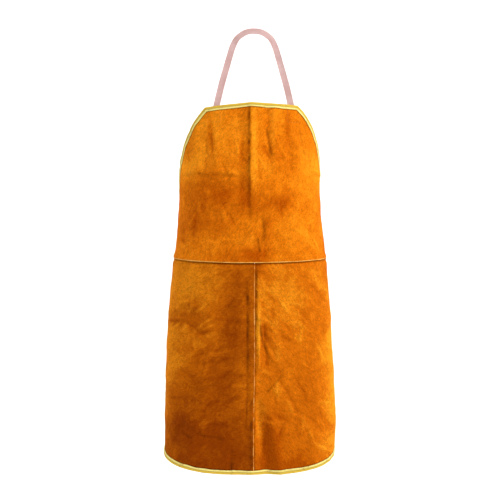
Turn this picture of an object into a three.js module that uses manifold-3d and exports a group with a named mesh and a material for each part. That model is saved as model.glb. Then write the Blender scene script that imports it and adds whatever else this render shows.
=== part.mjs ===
// A split-leather welding apron, worn or hung by its neck strap.
// Millimetres, +Z up, the front faces -Y. The origin is the middle of the
// strap's crown, on the face that lies on the neck.
//
// The apron is cut flat and then wraps round the wearer. Every leather piece is
// drawn on its flat pattern as (s, h): s runs round the body from the middle of
// the front and h is the height below the bib's top. onApron() bends a pattern
// point into place without stretching it.

import * as THREE from 'three';
import { mergeVertices } from 'three/addons/utils/BufferGeometryUtils.js';
import Module from 'manifold-3d';

const wasm = await Module();
wasm.setup();

// Flat pattern
const HALF_WIDTH = 305;
const LENGTH = 1067;
const BIB_CORNER_LEFT = new THREE.Vector2(-131, -12);
const BIB_PEAK = new THREE.Vector2(3, 0);
const BIB_CORNER_RIGHT = new THREE.Vector2(143, -6);
const ARMHOLE_CONTROL_LEFT = new THREE.Vector2(-205, -72);
const ARMHOLE_CONTROL_RIGHT = new THREE.Vector2(236, -66);
const ARMHOLE_END = -285;
// The bottom corners are quarter ellipses this wide and high
const HEM_CORNER_RUN = 270;
const HEM_CORNER_RISE = 80;
const WAIST_SIDE = -444;
const WAIST_DIP = 17;
const CENTRE_SEAM = 14;

// How finely the pattern is divided
const BIB_COLUMNS = 20;
const ARMHOLE_STEPS = 16;
const BIB_SIDE_STEPS = 4;
const SKIRT_ROWS = 8;
const HEM_CORNER_TURNS = [0.2, 0.35, 0.5, 0.62, 0.74, 0.86, 0.965];
const SIDE_TAPE_TURNS = 2;
const HEM_FRONT_STEPS = 3;
const WAIST_WELT_STEPS = 20;
const CENTRE_WELT_STEPS = 14;
const WRAP_STEPS = 24;

// The wrap: the front turns away from the middle by WRAP_ANGLE at the side edge
const WRAP_ANGLE = THREE.MathUtils.degToRad(105);
const WRAP_POWER_BIB = 1.74;
const WRAP_POWER_HEM = 3.32;
const WRAP_CHANGE_TOP = -230;
const WRAP_CHANGE_DEPTH = 670;
const BIB_LEAN = 20;
const BIB_LEAN_DEPTH = 330;

// Materials' thicknesses
const LEATHER = 1.6;
const TAPE = 0.8;
const TAPE_REACH = 12;
const TAPE_CLEARANCE = 0.6;
const WELT = 1.8;
const WELT_PROUD = 2.0;
const WELT_DEEP = 9;
const WELT_END_GAP = 1;
const GAP = 0.4;

// Neck strap
const STRAP_WIDTH = 18;
const STRAP_THICKNESS = 2;
const STRAP_BASE_LEFT = -95;
const STRAP_BASE_RIGHT = 122;
const STRAP_BEHIND = 3.6;
const STRAP_END_LENGTH = 58;
const STRAP_SLOPE = 0.28;
const LOOP_HEIGHT = 212;
const LOOP_CROWN_BACK = 26;
const LOOP_STEPS = 41;
// Half of the loop's outline as seen from the front, from the crown down:
// distance from the middle, and depth below the crown
const LOOP_OUTLINE = [
  [0, 0], [21, 3], [39, 14], [51, 27], [61, 50], [68, 74], [84, 134], [93, 169], [103, LOOP_HEIGHT],
];
const CROWN_TILT = THREE.MathUtils.degToRad(39);
const CROWN_TILT_DEPTH = 90;
const HINGE_ABOVE_BIB = 3;
const HINGE_GAP = 1.6;
const PATCH_BEHIND = 5.7;
const PATCH_BELOW_TAPE = 2;
const PATCH_WIDTH = 46;
const PATCH_HEIGHT = 44;

// Waist strap and buckle, which close the wrap behind the wearer
const WEBBING_WIDTH = 25;
const WEBBING_THICKNESS = 1.8;
const WAIST_STRAP_HEIGHT = -318;
const WEBBING_BEHIND = 5.4;
const SEWN_END = 252;
const SEWN_BEND = 282;
const BELT_SETBACK = 8;
const LAYER_SPACING = 1.3;
const FOLD_RADIUS = 3.5;
const FOLD_STEPS = 6;
const FOLD_SHOULDER = 9;
const BEND_EASE = 3;
const BEND_RUN = 30;
const TAIL_LENGTH = 78;
const SEWN_FOLD_LENGTH = 46;
const BUCKLE_HEIGHT = 33;
const BUCKLE_THICKNESS = 10;
const BUCKLE_WALL = 2;
const BUCKLE_SIDE_WALL = 3.6;
const SOCKET_LENGTH = 38;
const SOCKET_CAVITY = 25;
const PLUG_BASE = 19;
const PLUG_THICKNESS = 5;
const BAR_WIDTH = 3.2;
const BAR_THICKNESS = 3.2;
const STRAP_SLOT = 6.4;
const SLOT_MARGIN = 0.6;
const PLUG_TONGUE_LENGTH = 18;
const PLUG_TONGUE_HEIGHT = 4.8;
const PLUG_TONGUE_THICKNESS = 3.5;
const PRONG_LENGTH = 21;
const PRONG_WIDTH = 3;
const PRONG_THICKNESS = 4.4;
const PRONG_CLEARANCE = 1.2;
const PRONG_TIP = 1.6;
const BARB_LENGTH = 6;
const BARB_REACH = 2.3;
const BARB_FLAT = 2;
const BARB_WINDOW_SPARE = 2;
// How far a cutting block runs past the face it cuts
const OVERCUT = 1;
const KEEPER_LENGTH = 9;
const KEEPER_WALL = 1.6;
const KEEPER_PLACE = 62;

const finishes = {
  leatherBib: { color: 0xd97a16, roughness: 0.92, metalness: 0 },
  leatherSkirt: { color: 0xc0690e, roughness: 0.92, metalness: 0 },
  welt: { color: 0xd9a262, roughness: 0.9, metalness: 0 },
  tape: { color: 0xe8c860, roughness: 0.85, metalness: 0 },
  webbing: { color: 0xdeb4ae, roughness: 0.9, metalness: 0 },
  plastic: { color: 0x1c1c1e, roughness: 0.45, metalness: 0 },
};

const apron = new THREE.Group();
const model = new THREE.Group();
model.add(apron);

function add(parent, name, geometry, finish) {
  const mesh = new THREE.Mesh(geometry, new THREE.MeshStandardMaterial(finish));
  mesh.name = name;
  parent.add(mesh);
  return mesh;
}

// ---------------------------------------------------------------- the wrap

function smoothStep(t) {
  const c = THREE.MathUtils.clamp(t, 0, 1);
  return c * c * (3 - 2 * c);
}

function wrapPower(h) {
  const t = smoothStep((WRAP_CHANGE_TOP - h) / WRAP_CHANGE_DEPTH);
  return THREE.MathUtils.lerp(WRAP_POWER_BIB, WRAP_POWER_HEM, t);
}

// Where a pattern point lies before any offset: the section's angle grows as a
// power of s, and its x and y are the integrals of the angle's cosine and sine.
function wrapPoint(s, h) {
  const power = wrapPower(h);
  const reach = Math.abs(s);
  let x = 0;
  let y = 0;
  for (let i = 0; i < WRAP_STEPS; i += 1) {
    const t = (reach * (i + 0.5)) / WRAP_STEPS;
    const angle = WRAP_ANGLE * (t / HALF_WIDTH) ** power;
    x += (Math.cos(angle) * reach) / WRAP_STEPS;
    y += (Math.sin(angle) * reach) / WRAP_STEPS;
  }
  const lean = BIB_LEAN * smoothStep((h + BIB_LEAN_DEPTH) / BIB_LEAN_DEPTH);
  return new THREE.Vector3(Math.sign(s) * x, y + lean, h);
}

function wrapNormal(s, h) {
  const reach = 0.5;
  const across = wrapPoint(s + reach, h).sub(wrapPoint(s - reach, h));
  const up = wrapPoint(s, h + reach).sub(wrapPoint(s, h - reach));
  return across.cross(up).normalize();
}

function onApron(point, outward = 0) {
  return wrapPoint(point.x, point.y).addScaledVector(wrapNormal(point.x, point.y), outward);
}

// ------------------------------------------------------------ solid makers

function solidFrom(points, triangles) {
  const geometry = new THREE.BufferGeometry();
  geometry.setAttribute('position', new THREE.Float32BufferAttribute(points.flatMap((p) => p.toArray()), 3));
  let volume = 0;
  for (const [a, b, c] of triangles) {
    volume += points[a].dot(points[b].clone().cross(points[c]));
  }
  const facing = volume > 0 ? triangles : triangles.map(([a, b, c]) => [a, c, b]);
  geometry.setIndex(facing.flat());
  return geometry;
}

// Two triangles for a quad, cut along its shorter diagonal, so that a tape and
// the leather under it are faceted alike
function quad(points, a, b, c, d) {
  const first = points[a].distanceTo(points[c]);
  const second = points[b].distanceTo(points[d]);
  return first <= second ? [[a, b, c], [a, c, d]] : [[a, b, d], [b, c, d]];
}

// A leather panel from its pattern cells (four pattern points each): the cells
// become a front and a back skin, and every edge used once becomes a wall.
function plate(cells, outward, thickness) {
  const points = [];
  const found = new Map();
  const indexOf = (point) => {
    const key = `${Math.round(point.x * 1000)},${Math.round(point.y * 1000)}`;
    if (!found.has(key)) {
      found.set(key, points.length);
      points.push(onApron(point, outward + thickness / 2), onApron(point, outward - thickness / 2));
    }
    return found.get(key);
  };
  const triangles = [];
  const edges = new Map();
  for (const cell of cells) {
    const [a, b, c, d] = cell.map(indexOf);
    triangles.push(...quad(points, a, b, c, d), ...quad(points, a + 1, d + 1, c + 1, b + 1));
    for (const [from, to] of [[a, b], [b, c], [c, d], [d, a]]) {
      if (edges.has(`${to}>${from}`)) {
        edges.delete(`${to}>${from}`);
      } else {
        edges.set(`${from}>${to}`, [from, to]);
      }
    }
  }
  for (const [from, to] of edges.values()) {
    triangles.push([from, from + 1, to + 1], [from, to + 1, to]);
  }
  return solidFrom(points, triangles);
}

// A solid from a row of matching rings, with flat ends cut as the outline says
function loft(rings, outline) {
  const count = outline.length;
  const points = rings.flat();
  const triangles = [];
  for (let ring = 0; ring < rings.length - 1; ring += 1) {
    for (let i = 0; i < count; i += 1) {
      const a = ring * count + i;
      const b = ring * count + ((i + 1) % count);
      triangles.push(...quad(points, a, b, b + count, a + count));
    }
  }
  const last = (rings.length - 1) * count;
  const clockwise = THREE.ShapeUtils.isClockWise(outline);
  for (const face of THREE.ShapeUtils.triangulateShape(outline, [])) {
    const [a, b, c] = clockwise ? face.slice().reverse() : face;
    triangles.push([a, c, b], [last + a, last + b, last + c]);
  }
  return solidFrom(points, triangles);
}

function rectangle(width, height) {
  const corners = [[-1, -1], [1, -1], [1, 1], [-1, 1]];
  return corners.map(([u, v]) => new THREE.Vector2((u * width) / 2, (v * height) / 2));
}

function toManifold(geometry) {
  const bare = geometry.clone();
  bare.deleteAttribute('normal');
  bare.deleteAttribute('uv');
  const merged = mergeVertices(bare, 1e-4);
  return new wasm.Manifold(new wasm.Mesh({
    numProp: 3,
    vertProperties: new Float32Array(merged.attributes.position.array),
    triVerts: new Uint32Array(merged.index.array),
  }));
}

function fromManifold(solid) {
  const mesh = solid.getMesh();
  const geometry = new THREE.BufferGeometry();
  geometry.setAttribute('position', new THREE.BufferAttribute(new Float32Array(mesh.vertProperties), 3));
  geometry.setIndex(new THREE.BufferAttribute(new Uint32Array(mesh.triVerts), 1));
  return geometry;
}

// A box given by its lowest and highest corners
function block(low, high) {
  const size = high.map((value, axis) => value - low[axis]);
  const middle = high.map((value, axis) => (value + low[axis]) / 2);
  return new THREE.BoxGeometry(...size).translate(...middle);
}

function cutFrom(body, ...holes) {
  return fromManifold(holes.reduce((solid, hole) => solid.subtract(toManifold(hole)), toManifold(body)));
}

function joined(...pieces) {
  return fromManifold(pieces.map(toManifold).reduce((solid, piece) => solid.add(piece)));
}

// -------------------------------------------------------- pattern outlines

function spread(count) {
  return Array.from({ length: count + 1 }, (_, i) => i / count);
}

function waistLine(s) {
  return WAIST_SIDE - WAIST_DIP * (1 - (s / HALF_WIDTH) ** 2);
}

// The panels stop short of the waist seam's welt, above it and below it
function bibFoot(s) {
  return new THREE.Vector2(s, waistLine(s) + WELT / 2 + GAP);
}

function skirtHead(s) {
  return new THREE.Vector2(s, waistLine(s) - WELT / 2 - GAP);
}

function bibTop() {
  const shares = spread(BIB_COLUMNS / 2);
  const leftHalf = shares.map((t) => BIB_CORNER_LEFT.clone().lerp(BIB_PEAK, t));
  const rightHalf = shares.map((t) => BIB_PEAK.clone().lerp(BIB_CORNER_RIGHT, t));
  return [...leftHalf, ...rightHalf.slice(1)];
}

// One side of the bib, from its top corner down the armhole and the straight
// edge to the waist seam
function bibSide(side, corner, control) {
  const end = new THREE.Vector2(side * HALF_WIDTH, ARMHOLE_END);
  const armhole = new THREE.QuadraticBezierCurve(corner, control, end).getPoints(ARMHOLE_STEPS);
  const foot = bibFoot(end.x);
  const straight = spread(BIB_SIDE_STEPS - 1).map((t) => end.clone().lerp(foot, t));
  return [...armhole, ...straight.slice(1)];
}

// A rounded bottom corner, from the side edge (turn 0) to the hem (turn 1)
function hemCorner(side, turn) {
  const angle = (turn * Math.PI) / 2;
  const s = HALF_WIDTH - HEM_CORNER_RUN * (1 - Math.cos(angle));
  return new THREE.Vector2(side * s, -LENGTH + HEM_CORNER_RISE * (1 - Math.sin(angle)));
}

// The inner edge of the binding tape: the outline moved inwards by the tape's
// reach, mitred at each corner. Its two ends are given.
function insetLine(outline, inwards, first, last) {
  const middle = outline.slice(1, -1).map((point, i) => {
    const neighbours = [[outline[i], point], [point, outline[i + 2]]];
    const normals = neighbours.map(([from, to]) => new THREE.Vector2(from.y - to.y, to.x - from.x).normalize());
    const mitre = normals[0].clone().add(normals[1]).normalize();
    return point.clone().addScaledVector(mitre, (inwards * TAPE_REACH) / mitre.dot(normals[0]));
  });
  return [first, ...middle, last];
}

// Rows of points that fill a patch between its four border lines
function patchBetween(left, right, top, bottom) {
  const last = left.length - 1;
  const width = top.at(-1).x - top[0].x;
  return left.map((start, j) => top.map((head, i) => {
    const across = (head.x - top[0].x) / width;
    const down = j / last;
    const bow = head.clone().sub(top[0].clone().lerp(top.at(-1), across));
    const dip = bottom[i].clone().sub(bottom[0].clone().lerp(bottom.at(-1), across));
    return start.clone().lerp(right[j], across).addScaledVector(bow, 1 - down).addScaledVector(dip, down);
  }));
}

function cellsBetween(lineA, lineB) {
  return lineA.slice(1).map((point, i) => [lineA[i], point, lineB[i + 1], lineB[i]]);
}

function gridCells(rows) {
  return rows.slice(1).flatMap((row, i) => cellsBetween(rows[i], row));
}

// --------------------------------------------------------------- the tape

// Binding tape folded over an edge: a U section that holds the leather's edge.
// Each station pairs a point on the edge with one on the tape's inner line.
function binding(edge, inset) {
  const inner = LEATHER / 2 + TAPE_CLEARANCE;
  const outer = inner + TAPE;
  const section = [
    [0, outer], [0, inner], [1, inner], [1, -inner],
    [0, -inner], [0, -outer], [1, -outer], [1, outer],
  ];
  const outline = section.map(([along, out]) => {
    const beyond = Math.abs(out) - LEATHER / 2;
    return new THREE.Vector2(along * (TAPE_REACH + beyond), out);
  });
  const rings = edge.map((point, i) => {
    const away = point.clone().sub(inset[i]).normalize();
    return section.map(([along, out]) => {
      if (along === 0) {
        return onApron(inset[i], out);
      }
      const beyond = Math.abs(out) - LEATHER / 2;
      const onEdge = onApron(point, out);
      const direction = onApron(point).sub(onApron(point.clone().addScaledVector(away, -2))).normalize();
      return onEdge.addScaledVector(direction, beyond);
    });
  });
  return loft(rings, outline);
}

// Shortens a run of stations by a small gap at either end
function trimmed(line, atStart, atEnd) {
  const points = line.map((point) => point.clone());
  const last = points.length - 1;
  const pull = (from, to, distance) => from.addScaledVector(to.clone().sub(from).normalize(), distance);
  if (atStart) {
    pull(points[0], points[1], atStart);
  }
  if (atEnd) {
    pull(points[last], points[last - 1], atEnd);
  }
  return points;
}

function addBinding(name, edge, inset, atStart, atEnd) {
  const geometry = binding(trimmed(edge, atStart, atEnd), trimmed(inset, atStart, atEnd));
  add(apron, name, geometry, finishes.tape);
}

// ------------------------------------------------------------- bib and skirt

function makeBib() {
  const top = bibTop();
  const left = bibSide(-1, BIB_CORNER_LEFT, ARMHOLE_CONTROL_LEFT);
  const right = bibSide(1, BIB_CORNER_RIGHT, ARMHOLE_CONTROL_RIGHT);
  const loop = [...left.slice().reverse(), ...top.slice(1, -1), ...right];
  const footLeft = bibFoot(TAPE_REACH - HALF_WIDTH);
  const footRight = bibFoot(HALF_WIDTH - TAPE_REACH);
  const inset = insetLine(loop, -1, footLeft, footRight);
  const sideCount = left.length;
  const leftInset = inset.slice(0, sideCount).reverse();
  const topInset = inset.slice(sideCount - 1, sideCount - 1 + top.length);
  const rightInset = inset.slice(-sideCount);
  const width = topInset.at(-1).x - topInset[0].x;
  const bottom = topInset.map((point) => {
    return bibFoot(THREE.MathUtils.lerp(footLeft.x, footRight.x, (point.x - topInset[0].x) / width));
  });
  const cells = [
    ...gridCells(patchBetween(leftInset, rightInset, topInset, bottom)),
    ...cellsBetween(top, topInset),
    ...cellsBetween(left, leftInset),
    ...cellsBetween(right, rightInset),
  ];
  add(apron, 'bib_panel', plate(alignCells(cells), 0, LEATHER), finishes.leatherBib);

  addBinding('bib_top_binding', top, topInset, GAP, GAP);
  for (const [name, edge, insets] of [['left', left, leftInset], ['right', right, rightInset]]) {
    const end = ARMHOLE_STEPS;
    addBinding(`armhole_binding_${name}`, edge.slice(0, end + 1), insets.slice(0, end + 1), GAP, GAP / 2);
    addBinding(`bib_side_binding_${name}`, edge.slice(end), insets.slice(end), GAP / 2, 0);
  }
}

// Turns every cell the same way round, so that shared edges cancel
function alignCells(cells) {
  return cells.map((cell) => {
    const [a, b, , d] = cell;
    const turn = (b.x - a.x) * (d.y - a.y) - (b.y - a.y) * (d.x - a.x);
    return turn > 0 ? cell : cell.slice().reverse();
  });
}

// Half of the skirt. Its columns run straight down, from the waist seam to the
// hem tape's inner edge. Returns the edge and inset lines that the hem's tape
// follows.
function makeSkirtHalf(side, name) {
  const head = skirtHead(side * HALF_WIDTH);
  const corner = hemCorner(side, 0);
  const seam = new THREE.Vector2(CENTRE_SEAM + side * (WELT / 2 + GAP), -LENGTH);
  const turns = HEM_CORNER_TURNS.map((turn) => hemCorner(side, turn));
  const front = spread(HEM_FRONT_STEPS).map((t) => turns.at(-1).clone().lerp(seam, t));
  const hem = [corner, ...turns, ...front.slice(1)];
  const seamInset = seam.clone().setY(seam.y + TAPE_REACH);
  const hemInset = insetLine([head, ...hem], side < 0 ? 1 : -1, head, seamInset).slice(1);
  const rows = spread(SKIRT_ROWS).map((t) => hemInset.map((foot) => skirtHead(foot.x).lerp(foot, t)));
  const edge = [...spread(SKIRT_ROWS).map((t) => head.clone().lerp(corner, t)), ...hem.slice(1)];
  const inset = [...rows.map((row) => row[0]), ...hemInset.slice(1)];
  const cells = [...gridCells(rows), ...cellsBetween(edge, inset)];
  add(apron, `skirt_panel_${name}`, plate(alignCells(cells), 0, LEATHER), finishes.leatherSkirt);
  const sideEnd = SKIRT_ROWS + SIDE_TAPE_TURNS;
  addBinding(`skirt_side_binding_${name}`, edge.slice(0, sideEnd + 1), inset.slice(0, sideEnd + 1), 0, GAP / 2);
  return { edge: edge.slice(sideEnd), inset: inset.slice(sideEnd) };
}

// The hem's tape is in two lengths, joined a little to the left of the middle
function makeHemBinding(left, right) {
  const whole = (line) => [...left[line], ...right[line].slice().reverse()];
  const edge = whole('edge');
  const inset = whole('inset');
  const joint = left.edge.length - HEM_FRONT_STEPS;
  addBinding('hem_binding_left', edge.slice(0, joint), inset.slice(0, joint), GAP / 2, GAP / 2);
  addBinding('hem_binding_right', edge.slice(joint - 1), inset.slice(joint - 1), GAP / 2, GAP / 2);
}

// ------------------------------------------------------------------ welts

// A welt is a strip of leather sewn between two panels, its edge standing proud
function welt(line, across) {
  const section = [[-1, WELT_PROUD], [1, WELT_PROUD], [1, -WELT_DEEP], [-1, -WELT_DEEP]];
  const outline = section.map(([u, v]) => new THREE.Vector2((u * WELT) / 2, v));
  const rings = line.map((point) => section.map(([u, out]) => {
    return onApron(point.clone().addScaledVector(across, (u * WELT) / 2), out);
  }));
  return loft(rings, outline);
}

function makeWelts() {
  const reach = HALF_WIDTH - TAPE_REACH - WELT_END_GAP;
  const waist = spread(WAIST_WELT_STEPS).map((t) => {
    const s = THREE.MathUtils.lerp(-reach, reach, t);
    return new THREE.Vector2(s, waistLine(s));
  });
  add(apron, 'waist_seam_welt', welt(waist, new THREE.Vector2(0, 1)), finishes.welt);
  const head = skirtHead(CENTRE_SEAM);
  const foot = new THREE.Vector2(CENTRE_SEAM, -LENGTH + TAPE_REACH + WELT_END_GAP);
  const centre = spread(CENTRE_WELT_STEPS).map((t) => head.clone().lerp(foot, t));
  add(apron, 'centre_seam_welt', welt(centre, new THREE.Vector2(1, 0)), finishes.welt);
}

// -------------------------------------------------------------- neck strap

function strapBase(s) {
  return onApron(new THREE.Vector2(s, 0), -STRAP_BEHIND).setZ(HINGE_ABOVE_BIB);
}

function loopPath(left, right) {
  const middle = left.clone().add(right).multiplyScalar(0.5);
  const halfSpan = (right.x - left.x) / 2;
  const scale = halfSpan / LOOP_OUTLINE.at(-1)[0];
  const sideOf = (side, end) => LOOP_OUTLINE.map(([out, depth]) => {
    const fall = depth / LOOP_HEIGHT;
    const y = middle.y + LOOP_CROWN_BACK * (1 - fall) + (end.y - middle.y) * fall ** 2;
    return new THREE.Vector3(middle.x + side * out * scale, y, HINGE_ABOVE_BIB + LOOP_HEIGHT - depth);
  });
  const points = [...sideOf(-1, left).reverse(), ...sideOf(1, right).slice(1)];
  return new THREE.CatmullRomCurve3(points);
}

// Which way the strap's width lies: flat to the front down the legs, and
// leaning back over the crown
function strapWidthAt(tangent, depth) {
  const inPlane = new THREE.Vector3(-tangent.z, 0, tangent.x).normalize();
  const tilt = CROWN_TILT * (1 - smoothStep(depth / CROWN_TILT_DEPTH));
  return inPlane.multiplyScalar(Math.cos(tilt)).add(new THREE.Vector3(0, Math.sin(tilt), 0));
}

function makeNeckStrap() {
  const left = strapBase(STRAP_BASE_LEFT);
  const right = strapBase(STRAP_BASE_RIGHT);
  const curve = loopPath(left, right);
  const outline = rectangle(STRAP_WIDTH, STRAP_THICKNESS);
  const rings = spread(LOOP_STEPS).map((share) => {
    const centre = curve.getPointAt(share);
    const tangent = curve.getTangentAt(share);
    const width = strapWidthAt(tangent, HINGE_ABOVE_BIB + LOOP_HEIGHT - centre.z);
    const out = tangent.clone().cross(width).normalize();
    return outline.map((corner) => {
      const point = centre.clone().addScaledVector(width, corner.x).addScaledVector(out, corner.y);
      point.z = Math.max(point.z, HINGE_ABOVE_BIB + HINGE_GAP);
      return point;
    });
  });
  add(model, 'neck_strap', loft(rings, outline), finishes.webbing);
  return innerMiddle(rings[(LOOP_STEPS - 1) / 2], rings[(LOOP_STEPS + 1) / 2]);
}

// The middle of the strap's inner face between two of its rings
function innerMiddle(ringA, ringB) {
  const corners = [ringA[0], ringA[1], ringB[0], ringB[1]];
  return corners.reduce((sum, corner) => sum.add(corner), new THREE.Vector3()).divideScalar(4);
}

// The strap's sewn end, flat against the back of the bib
function makeStrapEnd(name, base, side) {
  const top = strapBase(base);
  const outline = rectangle(STRAP_WIDTH, STRAP_THICKNESS);
  const rings = spread(4).map((t) => {
    const depth = STRAP_END_LENGTH * t;
    const s = base + side * STRAP_SLOPE * depth;
    return outline.map((corner) => {
      const point = onApron(new THREE.Vector2(s + corner.x, -depth), -STRAP_BEHIND - corner.y);
      if (t === 0) {
        point.z = top.z - HINGE_GAP;
      }
      return point;
    });
  });
  add(apron, `neck_strap_end_${name}`, loft(rings, outline), finishes.webbing);
}

// The leather patch that backs a strap's sewn end
function makePatch(name, base, side) {
  const top = -TAPE_REACH - PATCH_BELOW_TAPE;
  const centre = base + side * STRAP_SLOPE * (PATCH_HEIGHT / 2 - top);
  const rows = spread(3).map((v) => spread(3).map((u) => {
    return new THREE.Vector2(centre + (u - 0.5) * PATCH_WIDTH, top - v * PATCH_HEIGHT);
  }));
  const patch = plate(alignCells(gridCells(rows)), -PATCH_BEHIND, LEATHER);
  add(apron, `strap_patch_${name}`, patch, finishes.leatherBib);
}

// ---------------------------------------------------- waist strap and buckle

// A flat strap on edge: a line in plan, given a thickness and a height
function strapOnEdge(path, low, height) {
  const left = [];
  const right = [];
  path.forEach((point, i) => {
    const before = path[Math.max(i - 1, 0)];
    const after = path[Math.min(i + 1, path.length - 1)];
    const along = after.clone().sub(before).normalize();
    const out = new THREE.Vector2(-along.y, along.x).multiplyScalar(WEBBING_THICKNESS / 2);
    left.push(point.clone().add(out));
    right.push(point.clone().sub(out));
  });
  const shape = new THREE.Shape([...left, ...right.reverse()]);
  return new THREE.ExtrudeGeometry(shape, { depth: height, bevelEnabled: false }).translate(0, 0, low);
}

// In plan, from the sewn end inside the side edge to the straight belt line
function sewnPath(side, beltLine) {
  const flat = [SEWN_END, (SEWN_END + SEWN_BEND) / 2, SEWN_BEND].map((s) => {
    const point = onApron(new THREE.Vector2(side * s, WAIST_STRAP_HEIGHT), -WEBBING_BEHIND);
    return new THREE.Vector2(point.x, point.y);
  });
  const bend = new THREE.Vector2(flat[2].x - side * BEND_EASE, beltLine);
  const after = new THREE.Vector2(flat[2].x - side * BEND_RUN, beltLine);
  const turn = new THREE.QuadraticBezierCurve(flat[2], bend, after).getPoints(7);
  return [flat[0], flat[1], ...turn];
}

// In plan, round a buckle's bar and back along the belt: `towards` is the side
// that the belt lies on
function foldPath(bar, towards, tail) {
  const shoulder = bar.x + towards * FOLD_SHOULDER;
  const turn = spread(FOLD_STEPS).map((share) => {
    const angle = -Math.PI / 2 - towards * share * Math.PI;
    return new THREE.Vector2(bar.x + FOLD_RADIUS * Math.cos(angle), bar.y + FOLD_RADIUS * Math.sin(angle));
  });
  return [
    new THREE.Vector2(shoulder, bar.y - LAYER_SPACING),
    ...turn,
    new THREE.Vector2(shoulder, bar.y + LAYER_SPACING),
    new THREE.Vector2(shoulder + towards * tail, bar.y + LAYER_SPACING),
  ];
}

function makeWaistStrap() {
  const edge = onApron(new THREE.Vector2(SEWN_BEND, WAIST_STRAP_HEIGHT), -WEBBING_BEHIND);
  const beltLine = edge.y + BELT_SETBACK;
  const low = WAIST_STRAP_HEIGHT - WEBBING_WIDTH / 2;
  const socketBar = new THREE.Vector2(-SOCKET_LENGTH + BAR_WIDTH / 2, beltLine);
  const plugBar = new THREE.Vector2(PLUG_BASE - BAR_WIDTH / 2, beltLine);
  const straps = [
    ['waist_strap_left', -1, socketBar, SEWN_FOLD_LENGTH],
    ['waist_strap_right', 1, plugBar, TAIL_LENGTH],
  ];
  for (const [name, side, bar, tail] of straps) {
    const start = sewnPath(side, beltLine - LAYER_SPACING);
    const path = [...start, ...foldPath(bar, side, tail)];
    add(apron, name, strapOnEdge(path, low, WEBBING_WIDTH), finishes.webbing);
  }
  makeSocket(beltLine);
  makePlug(beltLine);
  makeProngs(beltLine);
  makeKeeper(beltLine);
}

function addPlastic(name, geometry, beltLine) {
  add(apron, name, geometry.translate(0, beltLine, WAIST_STRAP_HEIGHT), finishes.plastic);
}

// A block centred on the belt line, from x = from to x = to
function bar(from, to, thickness, height) {
  return block([from, -thickness / 2, -height / 2], [to, thickness / 2, height / 2]);
}

// Cuts the faces of a crossbar back to its thickness, for the strap to pass
function barRelief(from, to, side) {
  const far = BUCKLE_THICKNESS / 2 + OVERCUT;
  const half = WEBBING_WIDTH / 2 + SLOT_MARGIN;
  const faces = [[-far, -BAR_THICKNESS / 2], [BAR_THICKNESS / 2, far]];
  return block([from, faces[side][0], -half], [to, faces[side][1], half]);
}

function strapSlot(from, to) {
  return bar(from, to, BUCKLE_THICKNESS + 2 * OVERCUT, WEBBING_WIDTH + 2 * SLOT_MARGIN);
}

// The openings in the socket's two edges that the prongs' barbs spring into
function barbWindow(side) {
  const inner = BUCKLE_HEIGHT / 2 - BUCKLE_SIDE_WALL - OVERCUT;
  const outer = BUCKLE_HEIGHT / 2 + OVERCUT;
  const heights = [side * inner, side * outer].sort((a, b) => a - b);
  const half = BUCKLE_THICKNESS / 2 - BUCKLE_WALL;
  const end = -PRONG_LENGTH + BARB_LENGTH + BARB_WINDOW_SPARE;
  return block([-PRONG_LENGTH - OVERCUT, -half, heights[0]], [end, half, heights[1]]);
}

function makeSocket(beltLine) {
  const barEnd = -SOCKET_LENGTH + BAR_WIDTH;
  const cavityHeight = BUCKLE_HEIGHT - 2 * BUCKLE_SIDE_WALL;
  const socket = cutFrom(
    bar(-SOCKET_LENGTH, 0, BUCKLE_THICKNESS, BUCKLE_HEIGHT),
    bar(-SOCKET_CAVITY, OVERCUT, BUCKLE_THICKNESS - 2 * BUCKLE_WALL, cavityHeight),
    strapSlot(barEnd, barEnd + STRAP_SLOT),
    barRelief(-SOCKET_LENGTH - OVERCUT, barEnd + GAP, 0),
    barRelief(-SOCKET_LENGTH - OVERCUT, barEnd + GAP, 1),
    barbWindow(1),
    barbWindow(-1),
  );
  addPlastic('buckle_socket', socket, beltLine);
}

function makePlug(beltLine) {
  const barStart = PLUG_BASE - BAR_WIDTH;
  const plug = cutFrom(
    joined(
      bar(GAP, PLUG_BASE, PLUG_THICKNESS, BUCKLE_HEIGHT),
      bar(-PLUG_TONGUE_LENGTH, GAP + OVERCUT, PLUG_TONGUE_THICKNESS, PLUG_TONGUE_HEIGHT),
    ),
    strapSlot(barStart - STRAP_SLOT, barStart),
    barRelief(barStart - GAP, PLUG_BASE + OVERCUT, 0),
    barRelief(barStart - GAP, PLUG_BASE + OVERCUT, 1),
  );
  addPlastic('buckle_plug', plug, beltLine);
}

function makeProngs(beltLine) {
  const wall = BUCKLE_HEIGHT / 2 - BUCKLE_SIDE_WALL;
  const inner = wall - PRONG_WIDTH - PRONG_CLEARANCE;
  const outer = inner + PRONG_WIDTH;
  const barbEnd = -PRONG_LENGTH + BARB_LENGTH;
  const profile = [
    [0, inner], [-PRONG_LENGTH, inner], [-PRONG_LENGTH, inner + PRONG_TIP],
    [barbEnd - BARB_FLAT, wall + BARB_REACH], [barbEnd, wall + BARB_REACH],
    [barbEnd, outer], [0, outer],
  ];
  for (const [name, side] of [['upper', 1], ['lower', -1]]) {
    const shape = new THREE.Shape(profile.map(([x, z]) => new THREE.Vector2(x, side * z)));
    const prong = new THREE.ExtrudeGeometry(shape, { depth: PRONG_THICKNESS, bevelEnabled: false });
    prong.rotateX(Math.PI / 2).translate(0, PRONG_THICKNESS / 2, 0);
    addPlastic(`buckle_prong_${name}`, prong, beltLine);
  }
}

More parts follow.
